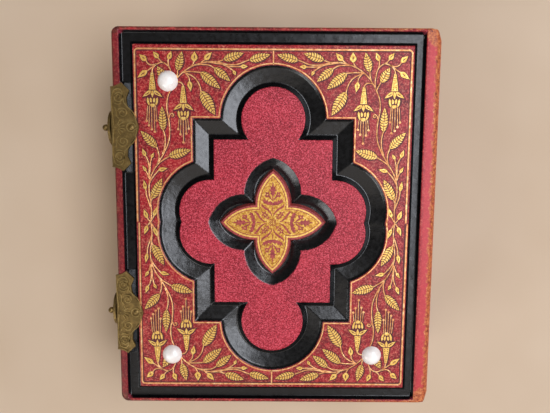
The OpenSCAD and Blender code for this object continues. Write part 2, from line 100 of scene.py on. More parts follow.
def new_object(name, data):
    """Puts a mesh, a curve, a lamp or a camera into the scene."""
    thing = bpy.data.objects.new(name, data)
    bpy.context.scene.collection.objects.link(thing)
    return thing


def copy_of(node, name):
    """A copy of a CAD node's mesh as a new object, with its loose triangles joined up."""
    piece = new_object(name, nodes[node].data.copy())
    piece.data.materials.clear()
    select_only(piece)
    bpy.ops.object.mode_set(mode="EDIT")
    bpy.ops.mesh.select_all(action="SELECT")
    bpy.ops.mesh.remove_doubles(threshold=0.002 * MM)
    bpy.ops.mesh.dissolve_limited(angle_limit=math.radians(0.5))
    bpy.ops.object.mode_set(mode="OBJECT")
    return piece


# %% [markdown]
# The camera looks almost straight down on the album, with its top edge a little nearer.
# The place and the turn were worked out from the corners of the gilt border, the corners
# of the groove and the studs.

# %% Camera
camera_data = bpy.data.cameras.new("camera")
camera_data.sensor_width = 36
camera_data.lens = 28.8
camera_data.clip_start = 0.01
camera = new_object("camera", camera_data)
camera.location = (1.81 * MM, 24.59 * MM, 225.04 * MM)
camera.rotation_euler = [math.radians(a) for a in (-5.752, -0.037, 0.386)]
bpy.context.scene.camera = camera
print("camera", round(camera.location.z / MM), "mm above the table")

# %% [markdown]
# Colours are written as sRGB hex, as a colour picker gives them, and one function turns
# them into the linear values that the shader wants. A second small function adds a node,
# sets it and links it, so that a material reads as a short recipe.

# %% Colour and node helpers
def linear(hex_colour):
    """A hex sRGB colour as linear red, green, blue and alpha."""
    values = [int(hex_colour[i:i + 2], 16) / 255 for i in (1, 3, 5)]
    return [v / 12.92 if v <= 0.04045 else ((v + 0.055) / 1.055) ** 2.4 for v in values] + [1]


def add(tree, kind, settings=None, out=0, **inputs):
    """Adds a node, sets it, sets or links its inputs by name or number, and returns an output.

    The setting "stops" is a ramp's list of places and colours, hex or a grey value."""
    node = tree.nodes.new("ShaderNode" + kind)
    for key, value in (settings or {}).items():
        if key != "stops":
            setattr(node, key, value)
            continue
        ramp = node.color_ramp
        stops = [(at, linear(c) if isinstance(c, str) else (c, c, c, 1)) for at, c in value]
        ramp.elements[0].position, ramp.elements[0].color = stops[0]
        ramp.elements[-1].position, ramp.elements[-1].color = stops[-1]
        for at, colour in stops[1:-1]:
            ramp.elements.new(at).color = colour
    for key, value in inputs.items():
        numbered = key[0] == "i" and key[1:].isdigit()
        socket = node.inputs[int(key[1:]) if numbered else key.replace("_", " ")]
        if isinstance(value, bpy.types.NodeSocket):
            tree.links.new(value, socket)
        else:
            socket.default_value = value
    return node.outputs[out] if node.outputs else node


def new_material(name, **shader):
    """A material with its own shader, whose constants are set on the shader's sockets.

    Gives the material, its node tree, the shader and the Object coordinates."""
    material = bpy.data.materials.new(name)
    material.use_nodes = True
    tree = material.node_tree
    tree.nodes.clear()
    surface = add(tree, "BsdfPrincipled", **shader).node
    add(tree, "OutputMaterial", Surface=surface.outputs[0])
    return material, tree, surface, add(tree, "TexCoord", out="Object")


def wear(tree, surface, **sockets):
    """Links what a recipe worked out to the named sockets of its shader."""
    for name, value in sockets.items():
        tree.links.new(value, surface.inputs[name.replace("_", " ")])


# %% [markdown]
# Nearly every finish here is uneven in patches of some real size: dye that took badly,
# rubbed grain, brush streaks, tarnish. So the patterns that repeat are written once.
# Object coordinates are in metres from the frame's origin and stay with the piece when
# it moves, so nothing slides, and a distance from a cover's edge can be worked out.

# %% Patterns that the finishes share
def per(size_mm):
    """A pattern's scale, from the real size of one of its patches."""
    return 1 / (size_mm * MM)


def mottle(tree, where, size_mm, detail, roughness, *stops):
    """Patches of a real size, given tones by a ramp of places and colours."""
    patches = add(tree, "TexNoise", Vector=where, Scale=per(size_mm), Detail=detail, Roughness=roughness)
    return add(tree, "ValToRGB", {"stops": stops}, Fac=patches)


def ragged_line(tree, where, size_mm, roughness, low_mm, high_mm):
    """A distance that wanders between two values, added where a worn place would end."""
    noise = add(tree, "TexNoise", Vector=where, Scale=per(size_mm), Detail=5, Roughness=roughness)
    return add(tree, "MapRange", Value=noise, From_Min=0.3, From_Max=0.7, To_Min=low_mm * MM,
               To_Max=high_mm * MM)


def depth_in(tree, place):
    """How far a point lies inside the nearer face of the closed album."""
    below = add(tree, "Math", {"operation": "SUBTRACT"}, i0=album_t, i1=place[2])
    return add(tree, "Math", {"operation": "MINIMUM"}, i0=place[2], i1=below)


def leather_bump(tree, where, strength, reach_mm):
    """Pebbled grain of about 0.75 mm over finer pores, for the Normal of a leather."""
    cells = add(tree, "TexVoronoi", {"feature": "DISTANCE_TO_EDGE"}, Vector=where, Scale=per(0.75))
    pebbles = add(tree, "ValToRGB", {"stops": [(0, 0.0), (0.25, 0.6)]}, Fac=cells)
    pores = add(tree, "TexNoise", Vector=where, Scale=per(0.35), Detail=3, Roughness=0.6)
    height = add(tree, "Math", {"operation": "ADD"}, i0=pebbles, i1=pores)
    return add(tree, "Bump", Strength=strength, Distance=reach_mm * MM, Height=height)


# %% [markdown]
# Crimson leather
#
# Goat or sheep skin, dyed crimson, grained, moulded and varnished. The dye took
# unevenly, so it goes from wine red to crimson in blotches, with brighter patches. Light
# and dark specks at the size of the grain are painted highlights and painted shade of
# its pebbles. Along the edges of a cover and most of all at its corners it is worn
# through to orange tan. A painted picture of the wear would need its own file and would
# blur close up, so the wear is a distance from the cover's rectangle, made ragged.

# %% Where the edges are rubbed
# The side, the end and the reach in mm of each corner's bare patch
RUBBED_CORNERS = ((1, -1, 8.5), (1, 1, 8), (-1, -1, 5), (-1, 1, 4))
# How much further in the wear reaches beside the joint, in mm
RUBBED_JOINT = 2.2


def rubbed_edge(tree, where, place):
    """How far the dye is gone, from 0 to nearly 1, by a point's place on its cover."""
    x = add(tree, "Math", {"operation": "SUBTRACT"}, i0=place[0], i1=cover_x)
    x = add(tree, "Math", {"operation": "ABSOLUTE"}, i0=x)
    x = add(tree, "Math", {"operation": "SUBTRACT"}, i0=x, i1=cover_half[0])
    y = add(tree, "Math", {"operation": "ABSOLUTE"}, i0=place[1])
    y = add(tree, "Math", {"operation": "SUBTRACT"}, i0=y, i1=cover_half[1])
    joint = add(tree, "Math", {"operation": "GREATER_THAN"}, i0=place[0], i1=cover_x)
    x = add(tree, "Math", {"operation": "MULTIPLY_ADD"}, i0=joint, i1=RUBBED_JOINT * MM, i2=x)
    edge = add(tree, "Math", {"operation": "SMOOTH_MAX"}, i0=x, i1=y, i2=6 * MM)
    flat = add(tree, "CombineXYZ", X=place[0], Y=place[1])
    for side, end, reach in RUBBED_CORNERS:
        corner = (cover_x + side * cover_half[0], end * cover_half[1], 0)
        apart = add(tree, "VectorMath", {"operation": "DISTANCE"}, out=1, i0=flat, i1=corner)
        inside = add(tree, "Math", {"operation": "SUBTRACT"}, i0=(reach - 1.2) * MM, i1=apart)
        edge = add(tree, "Math", {"operation": "MAXIMUM"}, i0=edge, i1=inside)
    ragged = ragged_line(tree, where, 2.2, 0.7, -1.3, 1.1)
    edge = add(tree, "Math", {"operation": "ADD"}, i0=edge, i1=ragged)
    worn = add(tree, "MapRange", Value=edge, From_Min=-1.3 * MM, From_Max=-0.4 * MM, To_Max=0.92)
    # Below the arris the sides keep their dye, apart from a few rubbed places
    depth = add(tree, "Math", {"operation": "SUBTRACT"}, i0=depth_in(tree, place), i1=ragged)
    kept = add(tree, "MapRange", Value=depth, From_Min=1.2 * MM, From_Max=2.4 * MM, To_Min=1.0,
               To_Max=0.22)
    return add(tree, "Math", {"operation": "MULTIPLY"}, i0=worn, i1=kept)


# %% Leather of the borders and the edges
def border_leather():
    """Crimson skin, with painted shade at the fore-edge and painted light beside the joint, worn to bare
    tan.
    """
    material, tree, surface, where = new_material("crimson_moulded_leather", IOR=1.5, Roughness=0.45,
                                                  Specular_IOR_Level=0.32)
    dye = mottle(tree, where, 9, 4, 0.6, (0.32, "#6a0b14"), (0.5, "#86101a"), (0.66, "#a41722"))
    # Brighter dye patches of 1.5 mm, then light specks of painted highlight and dark specks of painted shade
    # at the size of the grain's pebbles
    for size_mm, roughness, stops, tone in (
            (1.5, 0.6, ((0.45, 0.0), (0.65, 0.8)), "#b01d2a"),
            (0.7, 0.8, ((0.5, 0.0), (0.66, 0.75)), "#d47c66"),
            (0.7, 0.8, ((0.34, 0.7), (0.48, 0.0)), "#4c0814")):
        patches_and_grain_shading = mottle(tree, where, size_mm, 3, roughness, *stops)
        dye = add(tree, "MixRGB", Fac=patches_and_grain_shading, Color1=dye, Color2=linear(tone))
    place = add(tree, "SeparateXYZ", Vector=where).node.outputs
    tan = mottle(tree, where, 1.1, 5, 0.75, (0.38, "#4a2018"), (0.46, "#a8532f"), (0.58, "#c8763f"),
                 (0.7, "#e0a878"))
    brown = mottle(tree, where, 1.1, 5, 0.75, (0.4, "#3a1414"), (0.6, "#7a3a2c"), (0.72, "#b07a62"))
    # The tan of bare leather is strongest towards the spine
    towards_spine = add(tree, "MapRange", Value=place[0], From_Min=cover_x + 10 * MM,
                        From_Max=cover_x + 58 * MM)
    tan = add(tree, "MixRGB", Fac=towards_spine, Color1=brown, Color2=tan)
    # Painted shade darkens the rim at the fore-edge, where it rolls away from the light, and painted light
    # brightens it beside the joint, where it rolls towards the window
    fore = add(tree, "MapRange", Value=place[0], From_Min=cover_low.x + 4 * MM,
               From_Max=cover_low.x + 2.5 * MM, To_Max=0.6)
    dye = add(tree, "MixRGB", Fac=fore, Color1=dye, Color2=linear("#571018"))
    lightened = add(tree, "MapRange", Value=place[0], From_Min=cover_high.x - 7 * MM,
                From_Max=cover_high.x - 5 * MM, To_Max=0.75)
    dye = add(tree, "MixRGB", Fac=lightened, Color1=dye, Color2=linear("#c83c44"))
    worn = rubbed_edge(tree, where, place)
    colour = add(tree, "MixRGB", Fac=worn, Color1=dye, Color2=tan)
    wear(tree, surface, Base_Color=colour, Normal=leather_bump(tree, where, 0.6, 0.07))
    return material


LEATHER = border_leather()
print(LEATHER.name, "has", len(LEATHER.node_tree.nodes), "nodes")

# %% [markdown]
# The raised panel is the same skin under more pressure: brighter, with a fine even grain
# that sparkles. Its real grain of about 0.4 mm would blur in a view of the whole album,
# so its sparkle is drawn a little coarser, as light points of painted highlight and dark
# points of painted shade on the dye.

# %% Leather of the panel
def panel_leather():
    """Bright crimson skin with painted highlights and painted shade of its grain, as light and dark points.
    """
    material, tree, surface, where = new_material("crimson_grained_panel", IOR=1.5, Roughness=0.5,
                                                  Specular_IOR_Level=0.32)
    dye = mottle(tree, where, 14, 3, 0.5, (0.3, "#961524"), (0.5, "#a81b2b"), (0.7, "#b82435"))
    # Light points are painted highlights of the grain, dark points painted shade between its pebbles
    light = mottle(tree, where, 0.52, 2, 0.85, (0.5, 0.0), (0.62, 1.0))
    dark = mottle(tree, where, 0.52, 2, 0.85, (0.38, 0.95), (0.5, 0.0))
    colour = add(tree, "MixRGB", Fac=light, Color1=dye, Color2=linear("#d65463"))
    colour = add(tree, "MixRGB", Fac=dark, Color1=colour, Color2=linear("#6e0f20"))
    wear(tree, surface, Base_Color=colour, Normal=leather_bump(tree, where, 0.8, 0.08))
    return material


PANEL = panel_leather()
print(PANEL.name, "has", len(PANEL.node_tree.nodes), "nodes")

# %% [markdown]
# Black paint in the grooves
#
# The grooves were brushed with black spirit varnish paint after moulding. It is glossy,
# so each slope mirrors a different part of the room: grey towards the window and nearly
# black away from it. It lies in faint brush waves, and along the arrises it is rubbed
# down to the red leather. The outer groove was painted thinner and is a little duller.

# %% Black paint
# Half the painted rectangle, and where the round end of its corners starts and stops
PAINT_HALF, PAINT_CORNER = (58.2, 73.3), (2.5, 2.9)
# Beyond these distances from the middle lies the outer groove
OUTER_FROM = (54.6, 69.4)


def black_paint():
    """Glossy black over leather, rubbed to red on the arrises and at its round corners."""
    material, tree, surface, where = new_material("black_painted_leather", IOR=1.5,
                                                  Specular_IOR_Level=0.6)
    place = add(tree, "SeparateXYZ", Vector=where).node.outputs
    ragged = ragged_line(tree, where, 1.1, 0.75, -0.2, 0.22)
    depth = add(tree, "Math", {"operation": "ADD"}, i0=depth_in(tree, place), i1=ragged)
    rubbed = add(tree, "MapRange", Value=depth, From_Min=0.26 * MM, From_Max=0.04 * MM, To_Max=0.9)
    x = add(tree, "Math", {"operation": "SUBTRACT"}, i0=place[0], i1=middle_x - 0.3 * MM)
    past, outer = [], []
    for across, half, start in zip((x, place[1]), PAINT_HALF, OUTER_FROM):
        across = add(tree, "Math", {"operation": "ABSOLUTE"}, i0=across)
        beyond = add(tree, "Math", {"operation": "SUBTRACT"}, i0=across, i1=half * MM)
        past.append(add(tree, "Math", {"operation": "MAXIMUM"}, i0=beyond, i1=0.0))
        outer.append(add(tree, "Math", {"operation": "GREATER_THAN"}, i0=across, i1=start * MM))
    past = add(tree, "CombineXYZ", X=past[0], Y=past[1])
    past = add(tree, "VectorMath", {"operation": "LENGTH"}, out=1, i0=past)
    past = add(tree, "Math", {"operation": "ADD"}, i0=past, i1=ragged)
    past = add(tree, "MapRange", Value=past, From_Min=PAINT_CORNER[0] * MM,
               From_Max=PAINT_CORNER[1] * MM, To_Max=0.9)
    rubbed = add(tree, "Math", {"operation": "MAXIMUM"}, i0=rubbed, i1=past)
    paint = mottle(tree, where, 1.8, 5, 0.7, (0.35, "#040405"), (0.62, "#09090b"), (0.8, "#241e20"))
    colour = add(tree, "MixRGB", Fac=rubbed, Color1=paint, Color2=linear("#8e3340"))
    outer = add(tree, "Math", {"operation": "MAXIMUM"}, i0=outer[0], i1=outer[1])
    gloss = mottle(tree, where, 1.8, 5, 0.7, (0.35, 0.22), (0.65, 0.34))
    gloss = add(tree, "Math", {"operation": "MULTIPLY_ADD"}, i0=outer, i1=0.03, i2=gloss)
    sheen = add(tree, "Math", {"operation": "MULTIPLY_ADD"}, i0=outer, i1=-0.2, i2=0.6)
    waves = add(tree, "TexNoise", Vector=where, Scale=per(3.4), Detail=2, Roughness=0.5)
    pores = add(tree, "TexNoise", Vector=where, Scale=per(0.6), Detail=3, Roughness=0.6)
    height = add(tree, "Math", {"operation": "MULTIPLY_ADD"}, i0=pores, i1=0.12, i2=waves)
    normal = add(tree, "Bump", Strength=0.7, Distance=0.2 * MM, Height=height)
    wear(tree, surface, Base_Color=colour, Roughness=gloss, Specular_IOR_Level=sheen, Normal=normal)
    return material


PAINT = black_paint()
print(PAINT.name, "has", len(PAINT.node_tree.nodes), "nodes")

# %% [markdown]
# Leather of the spine
#
# The back strip stood in the light of the shelf, so the same skin has browned there. It
# is rubbed along both joints, and at the head and tail, where fingers pull an album out.
# The recipe is that of the borders with duller tones and a line of wear of its own.

# %% Spine leather
# How far from a joint and from the head or tail the leather is rubbed, in mm
JOINT_RUB, CAP_RUB = 4.5, 1.5


def spine_leather():
    """Browned skin, rubbed to tan along the joints and at the head and tail."""
    material, tree, surface, where = new_material("sunned_spine_leather", IOR=1.5, Roughness=0.5,
                                                  Specular_IOR_Level=0.32)
    dye = mottle(tree, where, 7, 5, 0.65, (0.34, "#4f1216"), (0.52, "#6e1a20"), (0.68, "#8c3a34"))
    rubbed = mottle(tree, where, 0.8, 3, 0.8, (0.55, 0.0), (0.7, 0.5))
    dye = add(tree, "MixRGB", Fac=rubbed, Color1=dye, Color2=linear("#b06a58"))
    place = add(tree, "SeparateXYZ", Vector=where).node.outputs
    up = add(tree, "Math", {"operation": "SUBTRACT"}, i0=place[2], i1=album_t / 2)
    up = add(tree, "Math", {"operation": "ABSOLUTE"}, i0=up)
    up = add(tree, "Math", {"operation": "SUBTRACT"}, i0=up, i1=album_t / 2 - JOINT_RUB * MM)
    end = add(tree, "Math", {"operation": "ABSOLUTE"}, i0=place[1])
    end = add(tree, "Math", {"operation": "SUBTRACT"}, i0=end, i1=cover_half[1] - CAP_RUB * MM)
    edge = add(tree, "Math", {"operation": "MAXIMUM"}, i0=up, i1=end)
    ragged = ragged_line(tree, where, 2.6, 0.7, -2.6, 1.6)
    edge = add(tree, "Math", {"operation": "ADD"}, i0=edge, i1=ragged)
    worn = add(tree, "MapRange", Value=edge, From_Min=-0.6 * MM, From_Max=0.5 * MM, To_Max=0.85)
    tan = mottle(tree, where, 1.1, 5, 0.75, (0.38, "#4a2018"), (0.5, "#9c5032"), (0.66, "#c48a5e"))
    colour = add(tree, "MixRGB", Fac=worn, Color1=dye, Color2=tan)
    wear(tree, surface, Base_Color=colour, Normal=leather_bump(tree, where, 0.7, 0.09))
    return material


SPINE = spine_leather()
print(SPINE.name, "has", len(SPINE.node_tree.nodes), "nodes")

# %% [markdown]
# Outline of the panel
#
# The panel's outline is a union of discs and a rectangle round the middle. A boolean of
# real discs would do it too, but the gilt line and the painted zone need the same shape
# a little wider or narrower. So it is found by asking, for each direction, how far out
# the farthest of them reaches, and a wider outline just makes each of them larger.

# %% Outline of the panel, in mm
LOBE_R = 21.3
PANEL_HALF = (32.4, 42.0)
END_LOBE = (0, 41.6)
SIDE_LOBE = (25.3, 4.5)
BAND_WIDTH = 8.6
GROOVE_HALF = (59.95, 74.8)


def disc_exit(cx, cy, r, dx, dy):
    """Where a ray from the middle leaves a disc, or 0 where it misses."""
    b = cx * dx + cy * dy
    inside = b * b - cx * cx - cy * cy + r * r
    return b + math.sqrt(inside) if inside > 0 else 0


def panel_reach(angle, grow):
    """How far the panel reaches in a direction, when its outline is grown by so much."""
    dx, dy = abs(math.cos(angle)), abs(math.sin(angle))
    flat = min((PANEL_HALF[0] + grow) / max(dx, 1e-6), (PANEL_HALF[1] + grow) / max(dy, 1e-6))
    discs = [disc_exit(cx, cy * s, LOBE_R + grow, dx, dy)
             for cx, cy in (END_LOBE, SIDE_LOBE) for s in (1, -1)]
    return max([flat] + discs)


print(f"the panel reaches {panel_reach(0, 0):.1f} mm sideways, {panel_reach(math.pi / 2, 0):.1f} mm up")

# %% [markdown]
# The two cover skins
#
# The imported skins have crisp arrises, and leather pulled over a moulded board never
# does. Each skin is copied and shaped in three steps: its outer groove is opened, its
# corners are worn round, and its arrises are bevelled. After that each face gets the
# finish of its zone: what lies deeper than the paint's edge is painted.
#
# The die pressed the outer groove as a channel with a steep outer side and a floor that
# is nearly flat, and the damp leather drew out wider than the board's own groove. The
# outer line of the groove is moved out on each side, then the slope beside it is cut
# along a plane near that line, and the new points are pushed down to the floor.

# %% Cut some faces of a mesh
def cut_faces(piece, wanted, axis, at):
    """Cuts the wanted faces along the plane where x (axis 0) or y (axis 1) is at a value."""
    select_only(piece)
    bpy.ops.object.mode_set(mode="EDIT")
    bpy.ops.mesh.select_mode(type="FACE")
    bpy.ops.mesh.select_all(action="DESELECT")
    bpy.ops.object.mode_set(mode="OBJECT")
    for polygon in piece.data.polygons:
        polygon.select = wanted(polygon)
    plane, normal = [0.0, 0.0, 0.0], [0.0, 0.0, 0.0]
    plane[axis], normal[axis] = at, 1.0
    bpy.ops.object.mode_set(mode="EDIT")
    bpy.ops.mesh.bisect(plane_co=plane, plane_no=normal, threshold=0.001 * MM)
    bpy.ops.object.mode_set(mode="OBJECT")


# %% Open the outer groove
# How far the outer line of the groove moves on each side, in mm, with its axis and sign
OPENED = {"left": (0, -1, 1.2), "right": (0, 1, 0.3), "bottom": (1, -1, 1.1), "top": (1, 1, 1.2)}
GROOVE_DEPTH, FLOOR_DEPTH, WALL_WIDTH, SLOPE_WIDTH = 2.0, 1.94, 0.6, 2.9
# Cuts across the fore-edge slope, just past both ends of each clasp recess
CLASP_CUTS = (-56.2, -20.0, 20.0, 56.2)
# Points closer to a line than NEAR are on it, and to a face than LEVEL in it, in mm
NEAR, LEVEL = 0.03, 0.02
# The depths between which the middles of the slope's faces lie, and how far in they reach
SLOPE_DEPTHS, SLOPE_REACH = (0.1, 1.95), 3.8


def move_groove_line(piece, cover):
    """Moves the outer line of the groove outwards, and says how many points moved."""
    moved = 0
    for vertex in piece.data.vertices:
        place = from_middle(vertex.co)
        past = [abs(place[axis]) - GROOVE_HALF[axis] for axis in (0, 1)]
        if abs(depth_of(vertex.co, cover)) > LEVEL or max(past) > NEAR:
            continue
        for axis, side, reach in OPENED.values():
            if past[axis] > -NEAR and place[axis] * side > 0:
                vertex.co[axis] += side * reach * MM
                moved += 1
    return moved


def open_groove(piece, cover):
    """Turns the sloped outer groove of a skin into a channel with a floor and a steep side."""
    print("groove points moved", move_groove_line(piece, cover))
    lowered = 0
    for name, (axis, side, reach) in OPENED.items():
        line = GROOVE_HALF[axis] + reach

        def on_slope(polygon):
            """The slope of this side is neither level nor part of the sides next to it."""
            along = from_middle(polygon.center)[axis] * side
            depth = depth_of(polygon.center, cover)
            leans = abs(polygon.normal[axis]) > 0.2 and abs(polygon.normal[1 - axis]) < 0.2
            within = SLOPE_DEPTHS[0] < depth < SLOPE_DEPTHS[1] and line - SLOPE_REACH < along < line
            return leans and within

        # At the fore-edge the slope is first parted on both sides of each clasp recess
        for y in CLASP_CUTS if name == "left" else ():
            cut_faces(piece, on_slope, 1, y * MM)
        middle = (middle_x, 0)[axis]
        cut_faces(piece, on_slope, axis, middle + side * (line - WALL_WIDTH) * MM)
        for vertex in piece.data.vertices:
            place = from_middle(vertex.co)
            along, across = place[axis] * side, abs(place[1 - axis])
            at_slope = (GROOVE_HALF[axis] - SLOPE_WIDTH < along < line - 0.05
                        and across < GROOVE_HALF[1 - axis] + WALL_WIDTH)
            at_clasp = name == "left" and CLASP_CUTS[2] + 0.1 < across < CLASP_CUTS[3] - 0.1
            if at_slope and not at_clasp and LEVEL < depth_of(vertex.co, cover) < FLOOR_DEPTH:
                vertex.co.z = face_z[cover] - outward[cover] * FLOOR_DEPTH * MM
                lowered += 1
    print("groove points lowered", lowered)


# %% [markdown]
# Years of handling rounded the corners of the covers, most at the spine. Cuts near each
# corner give it points to move, and then the square of each corner is drawn in towards
# a quarter circle of its own radius. A bevel would have to cross the rolled edges of
# the skin there, and moving points leaves its faces whole.

# %% Wear the corners round
# The side and the end of each corner, and the radius that it has worn to, in mm
CORNER_WEAR = (((1, 1), 4.5), ((1, -1), 4.0), ((-1, -1), 3.2), ((-1, 1), 2.2))


def wear_corners(piece):
    """Draws the four corners of a skin in, each towards a quarter circle."""
    inset = max(reach for corner, reach in CORNER_WEAR) * MM
    for axis, middle in ((0, cover_x), (1, 0.0)):
        for side in (-1, 1):
            cut_faces(piece, lambda polygon: True, axis, middle + side * (cover_half[axis] - inset))
    for vertex in piece.data.vertices:
        for (side_x, side_y), reach in CORNER_WEAR:
            u = (side_x * (vertex.co.x - cover_x) - cover_half[0]) / (reach * MM) + 1
            v = (side_y * vertex.co.y - cover_half[1]) / (reach * MM) + 1
            if u > 0 and v > 0:
                drawn_u = u * math.sqrt(1 - min(v, 1) ** 2 / 2)
                drawn_v = v * math.sqrt(1 - min(u, 1) ** 2 / 2)
                vertex.co.x += side_x * (drawn_u - u) * reach * MM
                vertex.co.y += side_y * (drawn_v - v) * reach * MM


# %% [markdown]
# Leather bends over an arris in a small radius, and fills the bottom of a groove in a
# smaller one. Bevelling a whole mesh would also round the places where clasps and board
# sit in it, so edges are picked in code: the lowest line of the outer groove first, then
# the sharp edges of the outer face, by the angle between their faces and by their place.

# %% Pick the edges to round
# Widths of the two bevels, in mm
VALLEY_ROUND, ARRIS_ROUND = 0.25, 0.4
# An arris turns by this many degrees, and its depth and least length are in mm
LEAST_ANGLE, DEEPEST, SHORTEST = 20, 3.2, 0.12


def pick_valleys(piece, cover):
    """Selects the lowest line of the outer groove."""
    picked = 0
    for edge in piece.data.edges:
        ends = [piece.data.vertices[v].co for v in edge.vertices]
        level = all(abs(abs(depth_of(end, cover)) - GROOVE_DEPTH) < NEAR for end in ends)
        out = all(any(abs(at) > half - 4.4 for at, half in zip(from_middle(end), GROOVE_HALF))
                  for end in ends)
        edge.select = level and out
        picked += edge.select
    return picked


def pick_arrises(piece, cover):
    """Selects the sharp edges of the outer face, apart from those at the rim and the clasps."""
    mesh = piece.data
    faces_of = {}
    for polygon in mesh.polygons:
        for key in polygon.edge_keys:
            faces_of.setdefault(key, []).append(polygon.normal)
    clasp_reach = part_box("upper_catch_plate")[1].x + 0.3 * MM
    clasp_y = [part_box(f"{side}_catch_plate") for side in ("upper", "lower")]
    picked = 0
    for edge in mesh.edges:
        normals = faces_of.get(edge.key, [])
        sharp = len(normals) == 2 and normals[0].angle(normals[1], 0) > math.radians(LEAST_ANGLE)
        ends = [mesh.vertices[v].co for v in edge.vertices]
        outside = all(abs(depth_of(end, cover)) < DEEPEST for end in ends)
        at_clasp = any(end.x < clasp_reach and low.y - 0.3 * MM < end.y < high.y + 0.3 * MM
                       for end in ends for low, high in clasp_y)
        short = (ends[0] - ends[1]).length < SHORTEST * MM
        at_rim = any(abs(at) > half + 1.5 for end in ends
                     for at, half in zip(from_middle(end), GROOVE_HALF))
        edge.select = sharp and outside and not (at_clasp or short or at_rim)
        picked += edge.select
    return picked


def round_edges(piece, cover, pick, width_mm):
    """Bevels the edges that a picking function selects, and says how many there were."""
    select_only(piece)
    bpy.ops.object.mode_set(mode="EDIT")
    bpy.ops.mesh.select_all(action="DESELECT")
    bpy.ops.mesh.select_mode(type="EDGE")
    bpy.ops.object.mode_set(mode="OBJECT")
    picked = pick(piece, cover)
    bpy.ops.object.mode_set(mode="EDIT")
    bpy.ops.mesh.bevel(offset=width_mm * MM, segments=3, affect="EDGES", clamp_overlap=False)
    bpy.ops.object.mode_set(mode="OBJECT")
    return picked


# %% [markdown]
# Three finishes meet on one skin. Each face gets its finish by where its middle lies:
# by its depth for the paint, and by the panel's outline for the brighter leather. After
# the bevels the wide faces are told to keep their own direction, so that only the
# rounded strips shade as bends.

# %% Give each face the finish of its zone
ZONES = (LEATHER, PANEL, PAINT)
PAINT_FROM, PAINT_TO = 0.14, 3.4


def zone_of(corners, centre, cover):
    """0 for the border and the edges, 1 for the panel, 2 for what is painted black."""
    depth = depth_of(centre, cover)
    beyond = any(abs(at) > half + 1.4 for at, half in zip(from_middle(centre), GROOVE_HALF))
    if depth > PAINT_TO or beyond:
        return 0
    if depth > PAINT_FROM:
        return 2
    for x, y in map(from_middle, corners):
        if math.hypot(x, y) > panel_reach(math.atan2(y, x), -BAND_WIDTH / 2):
            return 0
    return 1


def cover_skin(node, cover):
    """A softened copy of a packed skin, with its finishes, that stands for the node."""
    piece = copy_of(node, node + "_skin")
    open_groove(piece, cover)
    wear_corners(piece)
    print(node, "valley edges", round_edges(piece, cover, pick_valleys, VALLEY_ROUND))
    print(node, "arrises", round_edges(piece, cover, pick_arrises, ARRIS_ROUND))
    bpy.ops.object.shade_smooth_by_angle(angle=math.radians(35))
    bpy.ops.object.modifier_add(type="WEIGHTED_NORMAL")
    piece.modifiers[-1].keep_sharp = True
    bpy.ops.object.modifier_apply(modifier=piece.modifiers[-1].name)
    for material in ZONES:
        piece.data.materials.append(material)
    for polygon in piece.data.polygons:
        corners = [piece.data.vertices[v].co for v in polygon.vertices]
        polygon.material_index = zone_of(corners, polygon.center, cover)
    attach(piece, cover)
    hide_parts(node)
    painted = sum(polygon.material_index == 2 for polygon in piece.data.polygons)
    print(node, "faces", len(piece.data.polygons), "painted", painted)


cover_skin("back_cover_leather", BACK)
cover_skin("front_cover_leather", FRONT)

# %% [markdown]
# Gold leaf
#
# Leaf laid on glair and struck with a hot brass die. It is a real metal over leather, so
# the shader is partly metallic and rubbed dull, with darker spots where the leather
# shows through. The leaves kept a yellow leaf, and the thin lines are rubbed pinkish.
# Under each gilded shape lies a dark ground: leather scorched by the die, darkened further as painted shade
# of the impression's walls.

# %% Gilding materials
def gold_leaf(name, tones, patch_mm):
    """Leaf in four tones, from the one where leather shows through to the brightest."""
    material, tree, surface, where = new_material(name, Metallic=0.55)
    colour = mottle(tree, where, patch_mm, 4, 0.75, *zip((0.3, 0.43, 0.55, 0.7), tones))
    rough = mottle(tree, where, patch_mm, 4, 0.75, (0.3, 0.65), (0.7, 0.42))
    grain = add(tree, "TexNoise", Vector=where, Scale=per(0.4), Detail=3)
    normal = add(tree, "Bump", Strength=0.5, Distance=0.06 * MM, Height=grain)
    wear(tree, surface, Base_Color=colour, Roughness=rough, Normal=normal)
    return material


def scorch_and_shade_leather():
    """Skin browned by the heat of the die and darkened further as painted shade of the impression's walls.
    """
    material, tree, surface, where = new_material("scorch_and_painted_shade", IOR=1.5, Roughness=0.6)
    colour = mottle(tree, where, 1.5, 4, 0.7, (0.35, "#3c0710"), (0.65, "#64101c"))
    wear(tree, surface, Base_Color=colour, Normal=leather_bump(tree, where, 0.5, 0.05))
    return material


YELLOW = gold_leaf("blocked_yellow_gold_leaf", ("#a9702c", "#dca850", "#eec468", "#fae29a"), 0.9)
ROSE = gold_leaf("rubbed_rose_gold_lines", ("#a85a34", "#d88f58", "#eaae72", "#f8d49c"), 1.6)
GROUND = gold_leaf("stippled_gold_ground", ("#74401a", "#b57a2c", "#dba94a", "#f6dc86"), 0.8)
SCORCH_AND_SHADE = scorch_and_shade_leather()
print("gilding:", ", ".join(leaf.name for leaf in (YELLOW, ROSE, GROUND, SCORCH_AND_SHADE)))

# %% [markdown]
# A die is cut as flat shapes and thin lines, so that is how the gilding is drawn: filled
# curves for shapes and round wires, pressed low, for lines. Gold painted on by a texture
# would be simpler, but it would have no edge to catch the light. The drawings are in mm
# and are laid on a cover afterwards, which turns them into metres.

# %% Drawing in millimetres
def flat_shape(name, loops, thick=0.12):
    """Closed outlines in mm, filled; a loop inside another is a hole."""
    curve = bpy.data.curves.new(name, "CURVE")
    curve.dimensions = "2D"
    curve.fill_mode = "BOTH"
    curve.extrude = thick / 2
    for loop in loops:
        spline = curve.splines.new("POLY")
        spline.points.add(len(loop) - 1)
        for point, (x, y) in zip(spline.points, loop):
            point.co = (x, y, 0, 1)
        spline.use_cyclic_u = True
    piece = new_object(name, curve)
    select_only(piece)
    bpy.ops.object.convert(target="MESH")
    return piece


